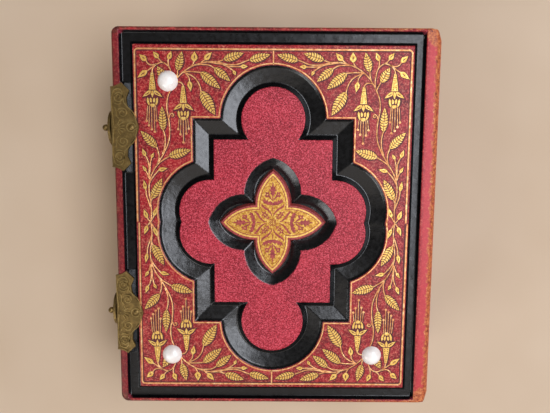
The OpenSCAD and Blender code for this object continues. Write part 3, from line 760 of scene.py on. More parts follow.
def drawn_lines(name, paths, width, height):
    """Smooth open lines in mm, with a low round section."""
    curve = bpy.data.curves.new(name, "CURVE")
    curve.dimensions = "3D"
    curve.resolution_u = 5
    curve.bevel_depth = width / 2
    curve.bevel_resolution = 1
    for path in paths:
        spline = curve.splines.new("BEZIER")
        spline.bezier_points.add(len(path) - 1)
        for point, (x, y) in zip(spline.bezier_points, path):
            point.co = (x, y, 0)
            point.handle_left_type = point.handle_right_type = "AUTO"
    curve.use_fill_caps = True
    piece = new_object(name, curve)
    piece.scale.z = 2 * height / width
    select_only(piece)
    bpy.ops.object.convert(target="MESH")
    bpy.ops.object.transform_apply(location=True, rotation=True, scale=True)
    return piece


def lay_on(piece, cover, lift=0.0, flip=(1, 1), shift=(0, 0)):
    """Puts a piece drawn in mm on the face of a cover, lifted and shifted by so many mm."""
    select_only(piece)
    piece.scale = (flip[0] * MM, flip[1] * MM, outward[cover] * MM)
    piece.location = (middle_x + shift[0] * MM, shift[1] * MM,
                      face_z[cover] + outward[cover] * lift * MM)
    bpy.ops.object.transform_apply(location=True, rotation=True, scale=True)
    bpy.ops.object.mode_set(mode="EDIT")
    bpy.ops.mesh.select_all(action="SELECT")
    bpy.ops.mesh.remove_doubles(threshold=0.002 * MM)
    bpy.ops.mesh.normals_make_consistent(inside=False)
    bpy.ops.object.mode_set(mode="OBJECT")
    return piece


def duplicate(piece):
    """A copy with its own mesh."""
    return new_object(piece.name, piece.data.copy())


def join(name, pieces):
    """Makes several pieces one, under a new name."""
    select_only(*pieces)
    bpy.ops.object.join()
    pieces[0].name = name
    return pieces[0]


def finish_piece(piece, material, body, smooth=None):
    """Gives a finished piece its material and its body, and smooths it by angle if asked."""
    piece.data.materials.clear()
    piece.data.materials.append(material)
    if smooth is not None:
        select_only(piece)
        bpy.ops.object.shade_smooth_by_angle(angle=math.radians(smooth))
    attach(piece, body)
    print(piece.name, "faces", len(piece.data.polygons))


# %% [markdown]
# The gilt foliage
#
# One quarter of the border is drawn and mirrored to the other three. Stems are smooth
# lines through a few points, in mm from the middle of the cover, and where two stems
# meet they share a place or end on each other. Nothing branches by chance here, as it
# would with a scattered plant, because the die repeats the same quarter four times.

# %% Stems
STEMS = [
    [(49.9, 0), (49.5, 3.5), (49.8, 8.5), (50.3, 12.5), (50.0, 16.5), (48.7, 20.2), (46.0, 24.6),
     (43.6, 28.8), (41.9, 33), (41.5, 37), (41.8, 41), (42.5, 45.5), (42.1, 50), (41.2, 52.3),
     (39.4, 55.7), (37.2, 58.6), (33.4, 61.5), (29.5, 63.1), (25.5, 63.9), (22.3, 63.9), (19.9, 64.6)],
    [(9.7, 64.7), (11.5, 64), (14.1, 63), (17.5, 62.8), (20.4, 63.3), (22.6, 63.9)],
    [(12.8, 62.1), (16.5, 62.1), (18.4, 62.3), (20.2, 63.2)],
    [(15.7, 60.3), (17.4, 61.5), (20, 62.8), (23, 63.3), (26, 63.8)],
    [(27.1, 64.7), (28.8, 63.4)],
    [(31.4, 64), (31.8, 63.1), (32.6, 62)],
    [(23.4, 61.4), (25.1, 62.4), (27.9, 62.8), (30.6, 62.7)],
    [(28.7, 59.7), (31.8, 60), (35.4, 60)],
    [(28.8, 52.2), (29.3, 54.4), (30.5, 56.7), (32.2, 58.3), (35.6, 59.8)],
    [(33.3, 56.2), (33.6, 57.7), (34.9, 59.4)],
    [(38, 60.4), (38.1, 59), (38.6, 57.2)],
    [(39.4, 55.7), (37.9, 56), (36.7, 55.7), (36, 54.8), (35.9, 54)],
    [(40.5, 53.6), (40.2, 56), (40.5, 58.8), (41.2, 61.4), (42.6, 62.9), (44.1, 63.5), (45.8, 63),
     (47.6, 61.9), (49, 60.9), (50.1, 60.2)],
    [(46.4, 62.7), (47.4, 61.7), (48, 60.6), (48.1, 59.3)],
    [(41.4, 61.9), (41.7, 63.3), (41.6, 64.7)],
    [(43.3, 63.3), (44.6, 64), (45.6, 65.2)],
    [(46, 62.9), (48.4, 62.5), (49.8, 63.2), (50.4, 64.2)],
    [(42.5, 56.3), (41.7, 55), (40.9, 53.2)],
    [(44.1, 37), (43.6, 35.4), (43.4, 32.4), (43.7, 30), (44.6, 27.6)],
    [(46.8, 30.3), (46.2, 28.2), (46, 26), (46.5, 23.8)],
    [(41.9, 26.7), (44.2, 25.3), (46, 24), (47.2, 22.6)],
    [(46.2, 21.1), (47.3, 19.9), (48.9, 17.9), (50, 15.8)],
    [(49, 26.2), (49.6, 23.5), (49.8, 20.8), (50.2, 17.6)],
    [(51.4, 26.8), (50.6, 25.2), (50.1, 22.5), (50.2, 19)],
    [(51.3, 20.7), (50.8, 19.6), (50.3, 17.8)],
    [(51.6, 13.3), (51.4, 10.9), (50.6, 8.4), (49.8, 6)],
    [(51.3, 1.7), (50.2, 0.2)],
    [(48.5, 2.5), (49.6, 0.6)],
    [(49.1, 9.7), (49.8, 8.2)],
    [(41.7, 42), (41.3, 43.2), (40.5, 43.7), (39.9, 43.1), (40.4, 42.5), (40.7, 43)],
]
print(len(STEMS), "stems through", sum(len(stem) for stem in STEMS), "points")

# %% [markdown]
# A leaf is a row of slanted teeth on each side of a bare midrib, which is how a die cuts
# its veins. A bud is a teardrop with a bare heart. A flower is a bell: a stippled tube,
# sepals, and a cup of petals on which the stamens stand. Only the base, the tip and the
# width of each leaf and bud are given, and one function draws the outline of all.

# %% Places of leaves, buds and flowers
# Each leaf or bud is its base, its tip and its width
LEAVES = [
    ((9.6, 64.5), (1.5, 66.7), 3.0), ((19.8, 64.7), (12, 67.2), 3.1), ((23.5, 61.5), (17.3, 56.5), 2.9),
    ((28.9, 59.8), (21.3, 53.6), 3.4), ((28.8, 52.5), (23.3, 43.3), 4.0), ((38, 60.3), (36.2, 67.6), 3.0),
    ((42.6, 56.2), (45.9, 61.9), 3.2), ((44.1, 36.9), (44.4, 46.3), 2.9), ((46.8, 30.2), (53, 36.6), 3.1),
    ((42, 26.7), (33.2, 29.3), 3.4), ((49.2, 9.5), (44.9, 17.7), 3.3),
]
BUDS = [
    ((13, 62.1), (10.2, 62.1), 1.6), ((15.9, 60.5), (15, 58.6), 1.2), ((27.3, 64.5), (24.4, 67.5), 2.2),
    ((31.4, 63.9), (31.2, 67.8), 2.6), ((33.4, 56.3), (32.8, 52.4), 2.0), ((41.6, 64.6), (40.3, 67.8), 1.9),
    ((45.5, 65.1), (47.5, 67.6), 1.9), ((50.2, 64.1), (53, 66.5), 2.1), ((50, 60.3), (53.9, 57.5), 2.1),
    ((46.3, 21.1), (42.6, 21.9), 1.6), ((49.1, 26), (48, 28), 1.2), ((51.4, 26.6), (52.6, 29.8), 1.5),
    ((51.2, 20.6), (52.7, 22.9), 1.2), ((51.6, 13.1), (52.3, 17.1), 1.5), ((51.2, 1.5), (52.6, 5.2), 1.7),
    ((48.6, 2.3), (47.2, 6.3), 1.5),
]
# Each flower is the top of its tube, and the ends of its stamens, seen from there
FLOWERS = [
    ((35.9, 54.4), [(-2.1, -16.7), (-1.1, -18.6), (0.1, -22.1), (1.3, -18.9), (2.2, -16.9)]),
    ((48.1, 59.5), [(-1.5, -18.7), (-0.7, -23.1), (0.5, -22.1), (1.6, -20.6), (2.5, -18.8)]),
]
print(len(LEAVES), "leaves,", len(BUDS), "buds and", len(FLOWERS), "flowers in a quarter")

# %% Outlines of leaves and buds
def along(base, tip):
    """A function that turns a place along and across a stroke into x and y."""
    length = math.dist(base, tip)
    ux, uy = (tip[0] - base[0]) / length, (tip[1] - base[1]) / length
    return length, lambda s, v: (base[0] + ux * s - uy * v, base[1] + uy * s + ux * v)


def mirrored(loop):
    """The same shape on the other side of the axis."""
    return [(-x, y) for x, y in loop]


def whole(half):
    """A shape drawn as its right half, from the axis round to the axis."""
    return half + mirrored(half)[::-1]


def leaf_half(s, length, width):
    """Half a leaf's width at a place along it: fullest a little nearer its base."""
    return width / 2 * math.sin(math.pi * min(1, max(0.02, s / length)) ** 0.8) ** 0.8


# The bare midrib's half width, and the gap before and after each tooth, in mm
MIDRIB, TOOTH_GAP = 0.12, (0.11, 0.12)


def leaf_loops(base, tip, width, pitch=1.15):
    """Slanted teeth on each side of a bare midrib, and a pointed tip."""
    length, at = along(base, tip)
    teeth = max(4, round(length / pitch))
    step = length / (teeth + 0.9)
    loops = []
    for side in (1, -1):
        for k in range(teeth):
            root, end = k * step + TOOTH_GAP[0], (k + 1) * step - TOOTH_GAP[1]
            shoulder, point = root + 0.45 * step, end + 0.42 * step
            outline = [(root, MIDRIB), (shoulder, 0.88 * leaf_half(shoulder, length, width)),
                       (point, 1.12 * leaf_half(point, length, width)),
                       (end + 0.2 * step, 0.6 * leaf_half(end, length, width)), (end, MIDRIB)]
            loops.append([at(s, side * max(MIDRIB, v)) for s, v in outline])
    s = (teeth + 0.05) * step
    loops.append([at(s, -0.2), at(s + 0.3 * step, -0.3), at(length + 0.1, 0),
                  at(s + 0.3 * step, 0.3), at(s, 0.2)])
    return loops


def leaf_scorch_shade_ground(base, tip, width):
    """The plain outline of a leaf, a little larger than its gold, for the ground of scorch and painted
    shade.
    """
    length, at = along(base, tip)
    places = [length * k / 10 for k in range(11)]
    side = [(s, 1.1 * leaf_half(s, length, width) + 0.3) for s in places]
    return [at(-0.3, 0)] + [at(s, v) for s, v in side] + [at(length + 0.7, 0)] \
        + [at(s, -v) for s, v in reversed(side)]


BUD_PROFILE = [(0, 0.12), (0.12, 0.62), (0.3, 1), (0.5, 0.92), (0.7, 0.55), (0.86, 0.24)]


def bud_loops(base, tip, width, grow=0.0):
    """A teardrop with a bare heart; grown, it is the dark ground of scorch and painted shade under one."""
    length, at = along(base, tip)
    side = [at(s * length, v * width / 2 + grow) for s, v in BUD_PROFILE]
    other = [at(s * length, -v * width / 2 - grow) for s, v in reversed(BUD_PROFILE)]
    outline = [at(-grow, 0)] + side + [at(length + 1.5 * grow, 0)] + other
    if grow:
        return [outline]
    heart = [at(0.2 * length, 0), at(0.42 * length, 0.24 * width / 2), at(0.7 * length, 0),
             at(0.42 * length, -0.18 * width / 2)]
    return [outline, heart]


# %% Outline of a flower
# Right halves and right-hand shapes, in mm from the top of the tube
TUBE = [(0.45, 0), (0.62, -1.2), (0.9, -3), (1.15, -5), (1.3, -6.6)]
SEPAL = [(0.5, -6.95), (1.4, -6.9), (2.2, -7.35), (3.0, -8.1), (3.9, -9.4), (2.4, -9.0), (0.9, -8.3)]
SEPAL_VEIN = [(1.1, -7.5), (2.1, -8.05), (3.0, -8.75), (2.0, -8.45), (1.2, -7.9)]
MIDDLE_SEPAL = [(0, -6.9), (0.42, -7.3), (0.58, -8.3), (0, -9.7)]
CUP = [(0, -12.1), (0.5, -12.0), (0.9, -12.25), (0.85, -13.0), (0.45, -13.3), (0, -13.4)]
CUP_SIDE = [(1.15, -12.1), (1.4, -11.2), (1.45, -10.2), (2.0, -9.6), (2.25, -10.4), (2.15, -11.5),
            (1.75, -12.4), (1.15, -12.9)]
CUP_FOLD = [(0.22, -10.3), (0.75, -9.7), (1.1, -10.2), (1.0, -11.3), (0.5, -11.7), (0.22, -11.2)]
FLOWER_SCORCH_SHADE_GROUND = [(0, 0.4), (0.75, 0.3), (1.2, -3), (1.6, -6.5), (2.6, -7.2), (3.6, -8.3), (4.5, -9.9),
                 (2.9, -9.6), (2.75, -11.6), (1.8, -13.1), (0.6, -13.6), (0, -13.6)]


def flower_loops(top):
    """A hanging bell flower: stippled tube, three sepals and a cup of five petals."""
    loops = [whole(TUBE), whole(MIDDLE_SEPAL), whole(CUP)]
    for shape in (SEPAL, SEPAL_VEIN, CUP_SIDE, CUP_FOLD):
        loops += [shape, mirrored(shape)]
    for row in range(7):
        y, reach = -0.8 - 0.85 * row, 0.14 + 0.07 * row
        for x in ((0,) if row % 2 == 0 and row < 3 else (-reach - 0.1, reach + 0.1)):
            loops.append([(x, y + 0.28), (x + 0.2, y), (x, y - 0.28), (x - 0.2, y)])
    return [[(top[0] + x, top[1] + y) for x, y in loop] for loop in loops]


def dot_loop(x, y, r=0.5):
    """A small round head with eight corners."""
    return [(x + r * math.cos(a * math.pi / 4), y + r * math.sin(a * math.pi / 4)) for a in range(8)]


# %% [markdown]
# The leaf of the blades is yellow and that of the lines is rubbed to rose, so the quarter
# becomes three objects: blades, lines, and a dark ground that shows as a thin rim round
# both, leather scorched by the die and darkened as painted shade. On a cover the ground is
# shifted a little right and down, as painted shade of the impression's walls that face away from the light.

# %% Draw one quarter of the foliage
def quarter_foliage():
    """Three objects: the yellow blades, the rose lines, and the dark ground of scorch and painted shade
    under both.
    """
    blades, scorch_shade_grounds, stamens, dots = [], [], [], []
    for base, tip, width in LEAVES:
        blades += leaf_loops(base, tip, width)
        scorch_shade_grounds.append(leaf_scorch_shade_ground(base, tip, width))
    for base, tip, width in BUDS:
        blades += bud_loops(base, tip, width)
        scorch_shade_grounds += bud_loops(base, tip, width, 0.28)
    for top, ends in FLOWERS:
        blades += flower_loops(top)
        scorch_shade_grounds.append([(top[0] + x, top[1] + y) for x, y in whole(FLOWER_SCORCH_SHADE_GROUND)])
        for x, y in ends:
            end = (top[0] + x, top[1] + y)
            stamens.append([(top[0] + 0.8 * x, top[1] - 12.9), end])
            dots.append(dot_loop(*end))
    yellow = flat_shape("foliage_blades", blades, 0.16)
    rose = join("foliage_lines", [drawn_lines("foliage_stems", STEMS, 0.5, 0.12),
                                  drawn_lines("foliage_threads", stamens, 0.34, 0.1),
                                  flat_shape("foliage_dots", dots, 0.16)])
    # Each ground is a little thicker than the last, so that no two faces lie in one plane
    patches = [flat_shape("ground", [loop], 0.08 + 0.002 * k) for k, loop in enumerate(scorch_shade_grounds)]
    dark = join("foliage_scorch_and_shade", [drawn_lines("ground_stems", STEMS + stamens, 1.0, 0.05)] + patches)
    return yellow, rose, dark


# %% Lay it on both covers
# The name, the leaf, the slot, the lift and the shift of each drawing, in mm
LAYERS = (("_gilt_foliage", YELLOW, "gilt_leather", 0.03, (0, 0)),
          ("_gilt_stems", ROSE, "gilt_leather", 0.045, (0, 0)),
          # The dark ground is shifted 0.17 mm right and 0.14 mm down, as painted shade of the impression's
          # walls
          ("_foliage_scorch_and_shade", SCORCH_AND_SHADE, "crimson_leather", 0.0, (0.17, -0.14)))
drawings = quarter_foliage()
for cover in (BACK, FRONT):
    for drawing, (label, material, slot, lift, shift) in zip(drawings, LAYERS):
        quarters = [lay_on(duplicate(drawing), cover, lift, (x, y), shift)
                    for x in (1, -1) for y in (1, -1)]
        finish_piece(join(cover + label, quarters), material, cover, 40)
for drawing in drawings:
    bpy.data.objects.remove(drawing)

# %% [markdown]
# Gilt lines
#
# A fine line frames the border, with rounded corners and a small break half way up each
# side, where two halves of the die met. Another follows the edge of the black band. A
# line is the space between an outline and a smaller one, so that its corners keep a
# clean radius on both sides, which a wire bent round them would not.

# %% Outlines of the lines
FRAME_HALF = (54.78, 68.87)
LINE_W = 0.62
DIVIDER = [(-0.25, 63.0), (0.25, 63.0), (0.25, 68.4), (-0.25, 68.4)]
# The die struck the frame a little low and to the left of the foliage
FRAME_SHIFT = (-0.08, -0.18)


def panel_loop(grow, steps=720):
    """The panel's outline, grown by so many mm, with a point at each of its corners."""
    corner = math.atan2(PANEL_HALF[1] + grow, PANEL_HALF[0] + grow)
    angles = sorted([2 * math.pi * k / steps for k in range(steps)]
                    + [corner, math.pi - corner, math.pi + corner, 2 * math.pi - corner])
    return [(panel_reach(a, grow) * math.cos(a), panel_reach(a, grow) * math.sin(a)) for a in angles]


def arch(inset, corner, foot=0.0):
    """The upper half of the frame line moved inwards; its feet stand so far to the right."""
    half_w, half_h = (half - inset for half in FRAME_HALF)
    points = [(half_w + foot, 0.22)]
    for side, start in ((1, 0), (-1, 90)):
        for k in range(6):
            a = math.radians(start + 18 * k)
            points.append((side * (half_w - corner) + corner * math.cos(a),
                           half_h - corner + corner * math.sin(a)))
    return points + [(-half_w + foot, 0.22)]


def upside_down(loop):
    """The same shape below the middle of the cover."""
    return [(x, -y) for x, y in loop]


print("the frame line encloses", [round(2 * half, 1) for half in FRAME_HALF], "mm")

# %% Lay the lines
for cover in (BACK, FRONT):
    upper, lower = [arch(-LINE_W / 2, 1.6, foot) + arch(LINE_W / 2, 0.9, foot)[::-1]
                    for foot in (-0.3, 0.3)]
    border = [upper, upside_down(lower), DIVIDER, upside_down(DIVIDER)]
    border = lay_on(flat_shape("border", border, 0.14), cover, 0.04, shift=FRAME_SHIFT)
    band = lay_on(flat_shape("band", [panel_loop(0.62), panel_loop(0.16)], 0.14), cover, 0.04)
    finish_piece(join(cover + "_gilt_lines", [border, band]), ROSE, cover, 30)
    # Under the frame line lies a dark band of scorch and painted shade, reaching 0.5 mm further inward than
    # the line
    under = arch(-0.4, 1.6) + arch(LINE_W / 2 + 0.5, 0.7)[::-1]
    under = flat_shape(cover + "_line_scorch_and_shade", [under, upside_down(under)], 0.05)
    finish_piece(lay_on(under, cover, shift=FRAME_SHIFT), SCORCH_AND_SHADE, cover)

# %% [markdown]
# The boss
#
# The boss is a flower of four pointed petals with a rubbed red rim. Two gold lines with
# a dark one between them follow its outline. Inside, a stippled gold ground is left bare
# round the fleurons, so the gold is cut out round them and the leather shows. A petal is
# where two discs overlap, so its outline comes from the same question as the panel's.

# %% Outline of the boss
PETAL_R, PETAL_A, PETAL_Y = 17.5, 10.5, 7.0


def petal_reach(angle, shrink):
    """Farthest petal along a direction; a petal is where two discs overlap."""
    best = 0
    for k in range(4):
        turn = angle - k * math.pi / 2
        dx, dy = math.cos(turn), math.sin(turn)
        reach = min(disc_exit(s * PETAL_A, PETAL_Y, PETAL_R - shrink, dx, dy) for s in (1, -1))
        best = max(best, reach)
    return best


def flower_loop(shrink, steps=480):
    """The outline of the boss, moved inwards by so many mm."""
    turns = [2 * math.pi * k / steps for k in range(steps)]
    return [(petal_reach(a, shrink) * math.cos(a), petal_reach(a, shrink) * math.sin(a)) for a in turns]


def turned(loop, k):
    """A shape turned by k quarter turns."""
    c, s = [(1, 0), (0, 1), (-1, 0), (0, -1)][k]
    return [(x * c - y * s, x * s + y * c) for x, y in loop]


# %% [markdown]
# The fleurons are drawn once, for the upper petal, and turned three times. Each loop is
# a hole in the gold ground, and a loop inside a hole is gold again.

# %% Fleurons of one petal, in mm from the middle of the boss
FLEURON = whole([(0.2, 8.8), (0.24, 11.0), (1.05, 12.0), (0.6, 12.6), (1.9, 13.4), (0.8, 13.7), (1.35, 15.2),
                 (0.4, 14.6), (0.1, 16.6)])
SIDE_BLOOM = [(0.45, 9.2), (1.2, 9.8), (1.75, 10.6), (2.8, 10.3), (3.3, 11.0), (2.9, 11.7), (3.1, 12.6),
              (2.3, 12.3), (1.7, 12.7), (1.6, 11.8), (1.2, 11.0), (0.75, 10.2), (0.35, 9.7)]
BLOOM_EYE = [(2.1, 11.0), (2.6, 11.3), (2.3, 11.8), (1.95, 11.5)]
CRESCENT = whole([(0.1, 7.0), (2.4, 7.4), (3.9, 8.2), (4.4, 9.7), (3.7, 9.1), (3.4, 10.0), (2.8, 8.9),
                  (2.2, 9.4), (1.8, 8.5), (0.9, 8.8), (0.1, 8.2)])
VEE = [(0.2, 2.3), (0.95, 3.7), (2.2, 4.95), (3.6, 5.75), (4.7, 6.7), (4.6, 7.9), (4.0, 7.1), (3.1, 6.45),
       (1.9, 5.7), (0.9, 4.6), (0.25, 3.3)]
ARROW = whole([(0.12, 4.9), (0.2, 5.7), (0.12, 6.7)])
ACANTHUS = [(1.5, 1.5), (1.45, 2.6), (2.15, 2.5), (1.95, 3.75), (2.85, 3.4), (2.8, 4.65), (3.7, 4.15),
            (4.95, 4.95), (4.15, 3.7), (4.65, 2.8), (3.4, 2.85), (3.75, 1.95), (2.5, 2.15), (2.6, 1.45)]
ACANTHUS_VEIN = [(2.0, 2.2), (3.7, 3.9), (3.9, 3.7), (2.2, 2.0)]
CROSS = [(-0.1, 0.15), (0.1, 0.15), (0.1, 1.5), (-0.1, 1.5)]
ONE_PETAL = [FLEURON, SIDE_BLOOM, mirrored(SIDE_BLOOM), BLOOM_EYE, mirrored(BLOOM_EYE), CRESCENT, VEE,
             mirrored(VEE), ARROW, ACANTHUS, ACANTHUS_VEIN, CROSS, dot_loop(0.85, 0.85, 0.5),
             dot_loop(0.85, 0.85, 0.24)]
print(len(ONE_PETAL), "loops in each petal")

# %% Lay the gilding of the bosses
for cover in (BACK, FRONT):
    loops = [flower_loop(1.76)] + [turned(shape, k) for k in range(4) for shape in ONE_PETAL]
    ground = lay_on(flat_shape(cover + "_gilt_flower", loops, 0.12), cover, 0.05)
    finish_piece(ground, GROUND, cover, 30)
    edge = flat_shape(cover + "_gilt_flower_edge", [flower_loop(0.78), flower_loop(1.46)], 0.16)
    finish_piece(lay_on(edge, cover, 0.05), YELLOW, cover, 30)

# %% [markdown]
# Porcelain and brass
#
# The foot studs are glazed white porcelain: glossy, with the IOR of glass and a faint
# warm cloud in the body. The clasps are thin brass, stamped, lacquered and then
# tarnished where the lacquer wore off, so they are brown in the hollows and rubbed
# brighter on the raised lines. A metal keeps its default IOR.

# %% Porcelain and brass
def porcelain():
    """White body under a clear glaze."""
    material, tree, surface, where = new_material("glazed_porcelain", Roughness=0.2, IOR=1.5)
    wear(tree, surface, Base_Color=mottle(tree, where, 3, 3, 0.5, (0.35, "#efe4dc"), (0.6, "#faf4ee")))
    return material


def tarnished_brass(name, tones):
    """Stamped brass in four tones, from the tarnish in the hollows to the rubbed metal."""
    material, tree, surface, where = new_material(name, Metallic=0.8)
    colour = mottle(tree, where, 2.2, 5, 0.7, *zip((0.3, 0.48, 0.6, 0.75), tones))
    rough = mottle(tree, where, 2.2, 5, 0.7, (0.3, 0.6), (0.7, 0.38))
    pits = add(tree, "TexNoise", Vector=where, Scale=per(0.4), Detail=4, Roughness=0.7)
    normal = add(tree, "Bump", Strength=0.6, Distance=0.08 * MM, Height=pits)
    wear(tree, surface, Base_Color=colour, Roughness=rough, Normal=normal)
    return material


BRASS = tarnished_brass("tarnished_stamped_brass", ("#5a4727", "#745e35", "#8a7142", "#ab9059"))
RUBBED_BRASS = tarnished_brass("rubbed_brass_relief", ("#7e6a3e", "#9c8450", "#b39a63", "#d0b880"))
print("metal:", BRASS.name, "and", RUBBED_BRASS.name)

# %% [markdown]
# Card, board and silk
#
# Card, paper and millboard are pressed fibre: two close tones, hardly any gloss. The
# leaves' edges, those of the windows too, carry burnished gold. Which faces are edges
# can't be told from their place, so the material asks which way a face looks. The head
# bands are silk in two colours, wound in turn round a cord, so bars run along them.

# %% Card, board and silk
def plain_stock(name, dark, light, size_mm, rough):
    """Card, paper, board or rubbed skin: two tones, fine fibres and no gloss."""
    material, tree, surface, where = new_material(name, Roughness=rough)
    fibres = add(tree, "TexNoise", Vector=where, Scale=per(size_mm), Detail=4, Roughness=0.65)
    colour = mottle(tree, where, size_mm, 4, 0.65, (0.35, dark), (0.65, light))
    normal = add(tree, "Bump", Strength=0.3, Distance=0.05 * MM, Height=fibres)
    wear(tree, surface, Base_Color=colour, Normal=normal)
    return material


# The guards at the leaves' roots begin this far right of the frame's origin, in mm
GUARDS_FROM = 51


def gilt_edged_card():
    """Pale card whose cut edges carry burnished gold, apart from the guard at the spine."""
    material, tree, surface, where = new_material("gilt_edged_leaf_card")
    fibres = add(tree, "TexNoise", Vector=where, Scale=per(3), Detail=4, Roughness=0.65)
    card = mottle(tree, where, 3, 4, 0.65, (0.35, "#e3d8bd"), (0.65, "#efe7d2"))
    gold = mottle(tree, where, 5, 5, 0.7, (0.34, "#8a6a38"), (0.5, "#c59a4e"), (0.68, "#e2bd72"))
    facing = add(tree, "SeparateXYZ", Vector=where.node.outputs["Normal"]).node.outputs[2]
    facing = add(tree, "Math", {"operation": "ABSOLUTE"}, i0=facing)
    sideways = add(tree, "Math", {"operation": "LESS_THAN"}, i0=facing, i1=0.5)
    place = add(tree, "SeparateXYZ", Vector=where).node.outputs[0]
    leaf = add(tree, "Math", {"operation": "LESS_THAN"}, i0=place, i1=GUARDS_FROM * MM)
    edge = add(tree, "Math", {"operation": "MULTIPLY"}, i0=sideways, i1=leaf)
    colour = add(tree, "MixRGB", Fac=edge, Color1=card, Color2=gold)
    metal = add(tree, "Math", {"operation": "MULTIPLY"}, i0=edge, i1=0.75)
    rough = add(tree, "Math", {"operation": "MULTIPLY_ADD"}, i0=edge, i1=-0.4, i2=0.8)
    normal = add(tree, "Bump", Strength=0.3, Distance=0.05 * MM, Height=fibres)
    wear(tree, surface, Base_Color=colour, Metallic=metal, Roughness=rough, Normal=normal)
    return material


def wound_silk():
    """Two threads wound in turn round the cord of a head band, as bars along it."""
    material, tree, surface, where = new_material("wound_silk_thread", Roughness=0.45)
    along_cord = {"wave_type": "BANDS", "bands_direction": "Z"}
    bars = add(tree, "TexWave", along_cord, Vector=where, Scale=per(12), Distortion=0.6, Detail=2)
    colour = add(tree, "ValToRGB", {"stops": [(0.42, "#7c1f2a"), (0.58, "#e0cfa6")]}, Fac=bars)
    threads = add(tree, "TexWave", along_cord, Vector=where, Scale=per(2.4))
    normal = add(tree, "Bump", Strength=0.6, Distance=0.1 * MM, Height=threads)
    wear(tree, surface, Base_Color=colour, Normal=normal)
    return material


# %% [markdown]
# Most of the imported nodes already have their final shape, so each only gets its finish.
# The list goes from a finish to the nodes that are made of it.

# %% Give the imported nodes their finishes
FINISHES = (
    (porcelain(), ["foot_studs"]),
    (BRASS, ["stud_pins"] + [f"{side}_{part}" for side in ("upper", "lower") for part in (
        "catch_plate", "catch_rivet", "hinge_plate", "hinge_rivet", "hinge_pin", "hasp", "thumb_knob")]),
    (plain_stock("raw_millboard", "#77603f", "#94794f", 1.5, 0.9),
     ["front_board", "back_board", "spine_board"]),
    (plain_stock("calendered_endpaper", "#ddd2b8", "#ece4cf", 4, 0.75),
     ["front_pastedown", "back_pastedown"]),
    (plain_stock("stub_card", "#cdbf9f", "#ded3b8", 2, 0.85), ["guard_block"]),
    (gilt_edged_card(), [f"leaf_{n:02d}" for n in range(1, 13)]),
    (wound_silk(), ["head_band", "tail_band"]),
    (plain_stock("rubbed_boss_leather", "#7c1822", "#b44c44", 0.7, 0.5), ["front_boss", "back_boss"]),
    (SPINE, ["spine_leather"]),
)
for material, names in FINISHES:
    for name in names:
        nodes[name].data.materials.clear()
        nodes[name].data.materials.append(material)
    print(material.name, "on", ", ".join(names))

# %% [markdown]
# Stamped ornament of the clasps
#
# The clasps were struck from thin sheet between dies, which raised a border line inside
# the outline, a C scroll at each end, a spiral beside the middle and a fan of shell rays
# behind the rivet. Each line is laid on the plate as a low round wire of brass. The
# lower half of a plate mirrors its upper half.

# %% Lines of one plate, in mm from the fore-edge and from the rivet's line
def arc(cx, cy, r, start, stop, steps=8, grow=0.0):
    """Points along an arc in degrees, whose radius grows by so many mm over its length."""
    points = []
    for k in range(steps + 1):
        a = math.radians(start + (stop - start) * k / steps)
        reach = r + grow * k / steps
        points.append((cx + reach * math.cos(a), cy + reach * math.sin(a)))
    return points


UPPER_HALF = [
    arc(3.2, 11.8, 1.75, 150, -190, 12), arc(3.1, 11.9, 0.55, -90, 200, 6, 0.35),
    [(0.9, 0.8), (0.9, 13.6), (2.2, 14.9), (4.0, 14.7), (4.9, 12.2), (5.3, 9.6), (6.7, 7.9), (8.9, 5.6),
     (9.9, 2.6), (10.0, 0.3)],
    [(1.6, 9.4), (2.9, 9.0), (4.2, 9.4)],
    arc(4.6, 5.6, 0.5, 0, 520, 16, 1.6),
    [(1.6, 7.9), (2.1, 6.4), (2.2, 4.6), (3.2, 3.4)],
]
RIVET_X, RAYS_X = 7.9, 2.0


def ray(angle):
    """One ray of the shell, between two distances from its middle."""
    c, s = math.cos(math.radians(angle)), math.sin(math.radians(angle))
    return [(RAYS_X + reach * c, reach * s) for reach in (1.1, 3.4)]


RAYS = [[(RAYS_X, 0), (1.2, 0)]] + [ray(angle) for angle in (-62, -37, -12, 12, 37, 62)]
RING = [arc(RIVET_X, 0, 1.75, 0, 350, 14)]
print(2 * len(UPPER_HALF) + len(RAYS) + len(RING), "lines on each plate")

# %% Lay the ornament on the catch plates and the hinge plates
# The raised rim of a plate stands this far above its field, in mm
RIM_H = 0.25
half = drawn_lines("plate_half", UPPER_HALF, 0.5, 0.34)
middle = drawn_lines("plate_middle", RAYS + RING, 0.48, 0.34)
for side in ("upper", "lower"):
    for cover, plate in ((BACK, "catch"), (FRONT, "hinge")):
        low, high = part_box(f"{side}_{plate}_plate")
        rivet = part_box(f"{side}_{plate}_rivet")
        rivet_x = (rivet[0].x + rivet[1].x) / 2 / MM
        centre = (rivet_x - RIVET_X - middle_x / MM, (low.y + high.y) / 2 / MM)
        proud = (high.z - album_t if cover == BACK else -low.z) / MM - RIM_H
        parts = [lay_on(duplicate(half), cover, proud, (1, 1), centre),
                 lay_on(duplicate(half), cover, proud, (1, -1), centre),
                 lay_on(duplicate(middle), cover, proud, (1, 1), centre)]
        finish_piece(join(f"{side}_{plate}_ornament", parts), RUBBED_BRASS, cover, 50)
bpy.data.objects.remove(half)
bpy.data.objects.remove(middle)

# %% [markdown]
# Floor and light
#
# The album lies on a sheet of pale paper, which far from it fades into the pale
# backdrop, for the camera's own rays alone, so the light on the album stays as it is.

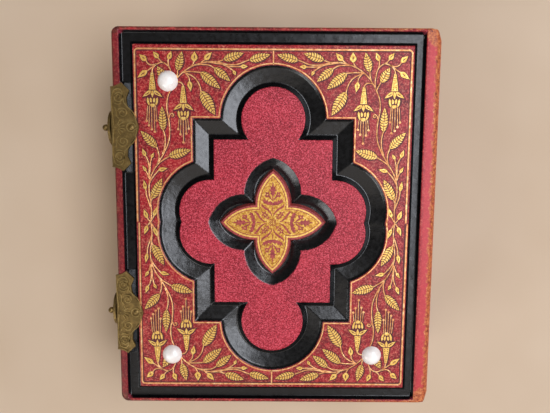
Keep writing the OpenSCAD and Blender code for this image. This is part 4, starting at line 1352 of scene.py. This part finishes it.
# %% Floor
BACKDROP = "#cfbfab"
bpy.ops.object.select_all(action="DESELECT")
bpy.ops.mesh.primitive_plane_add(size=4, location=(0, 0, 0))
floor = bpy.context.object
floor.name = "floor"
floor_material, tree, surface, where = new_material("pale_paper_backdrop", Roughness=0.9)
wear(tree, surface, Base_Color=mottle(tree, where, 60, 2, 0.5, (0.3, "#c5ad93"), (0.7, "#cbb49b")))
seen = add(tree, "LightPath", out=0)
away = add(tree, "VectorMath", {"operation": "LENGTH"}, out=1, i0=where)
away = add(tree, "MapRange", {"interpolation_type": "SMOOTHSTEP"}, Value=away, From_Min=0.2,
           From_Max=0.8)
away = add(tree, "Math", {"operation": "MULTIPLY"}, i0=away, i1=seen)
backdrop = add(tree, "Emission", Color=linear(BACKDROP))
lightened = add(tree, "MixShader", i0=away, i1=surface.outputs[0], i2=backdrop)
output = [node for node in tree.nodes if node.type == "OUTPUT_MATERIAL"][0]
tree.links.new(lightened, output.inputs["Surface"])
floor.data.materials.append(floor_material)
print("floor", floor_material.name)

# %% [markdown]
# Gloss shows what it mirrors, so the lamps are broad and stand where the room's pale
# things stood: a large window on the right gives the sheen of the black slopes, pale
# walls in front and behind give theirs, a small window on the left fills, and the world
# lifts the rest a little. Sharp small lamps would put hard dots on every slope.

# %% Lights
# What every lamp looks at, in mm
AIM = (0, 0, 40)


def soft_light(name, place_mm, size_mm, watts, colour="#ffffff"):
    """A broad rectangular lamp that looks at the middle of the album."""
    data = bpy.data.lights.new(name, "AREA")
    data.shape = "RECTANGLE"
    data.size, data.size_y = (s * MM for s in size_mm)
    data.energy = watts
    data.color = linear(colour)[:3]
    light = new_object(name, data)
    light.location = [p * MM for p in place_mm]
    towards = light.location.copy()
    towards.xyz = [a * MM - p for a, p in zip(AIM, light.location)]
    light.rotation_euler = towards.to_track_quat("-Z", "Y").to_euler()
    print(name, watts, "W")


soft_light("window_right", (388, 95, 740), (780, 400), 7.4, "#f2f6ff")
soft_light("wall_in_front", (0, -460, 695), (800, 580), 1.1, "#fff4ea")
soft_light("wall_behind", (0, 310, 770), (800, 340), 0.2, "#fff4ea")
soft_light("window_left", (-500, -500, 415), (450, 300), 2.2)

# %% [markdown]
# The world is a dim warm room for the album, and the pale backdrop for the camera.

# %% World
world = bpy.data.worlds.new("world")
bpy.context.scene.world = world
world.use_nodes = True
world_tree = world.node_tree
world_tree.nodes.clear()
room = add(world_tree, "Background", Color=linear("#e8e4de"), Strength=0.1)
backdrop = add(world_tree, "Background", Color=linear(BACKDROP))
seen = add(world_tree, "LightPath", out=0)
sky = add(world_tree, "MixShader", i0=seen, i1=room, i2=backdrop)
add(world_tree, "OutputWorld", Surface=sky)
bpy.context.scene.view_settings.view_transform = "Standard"
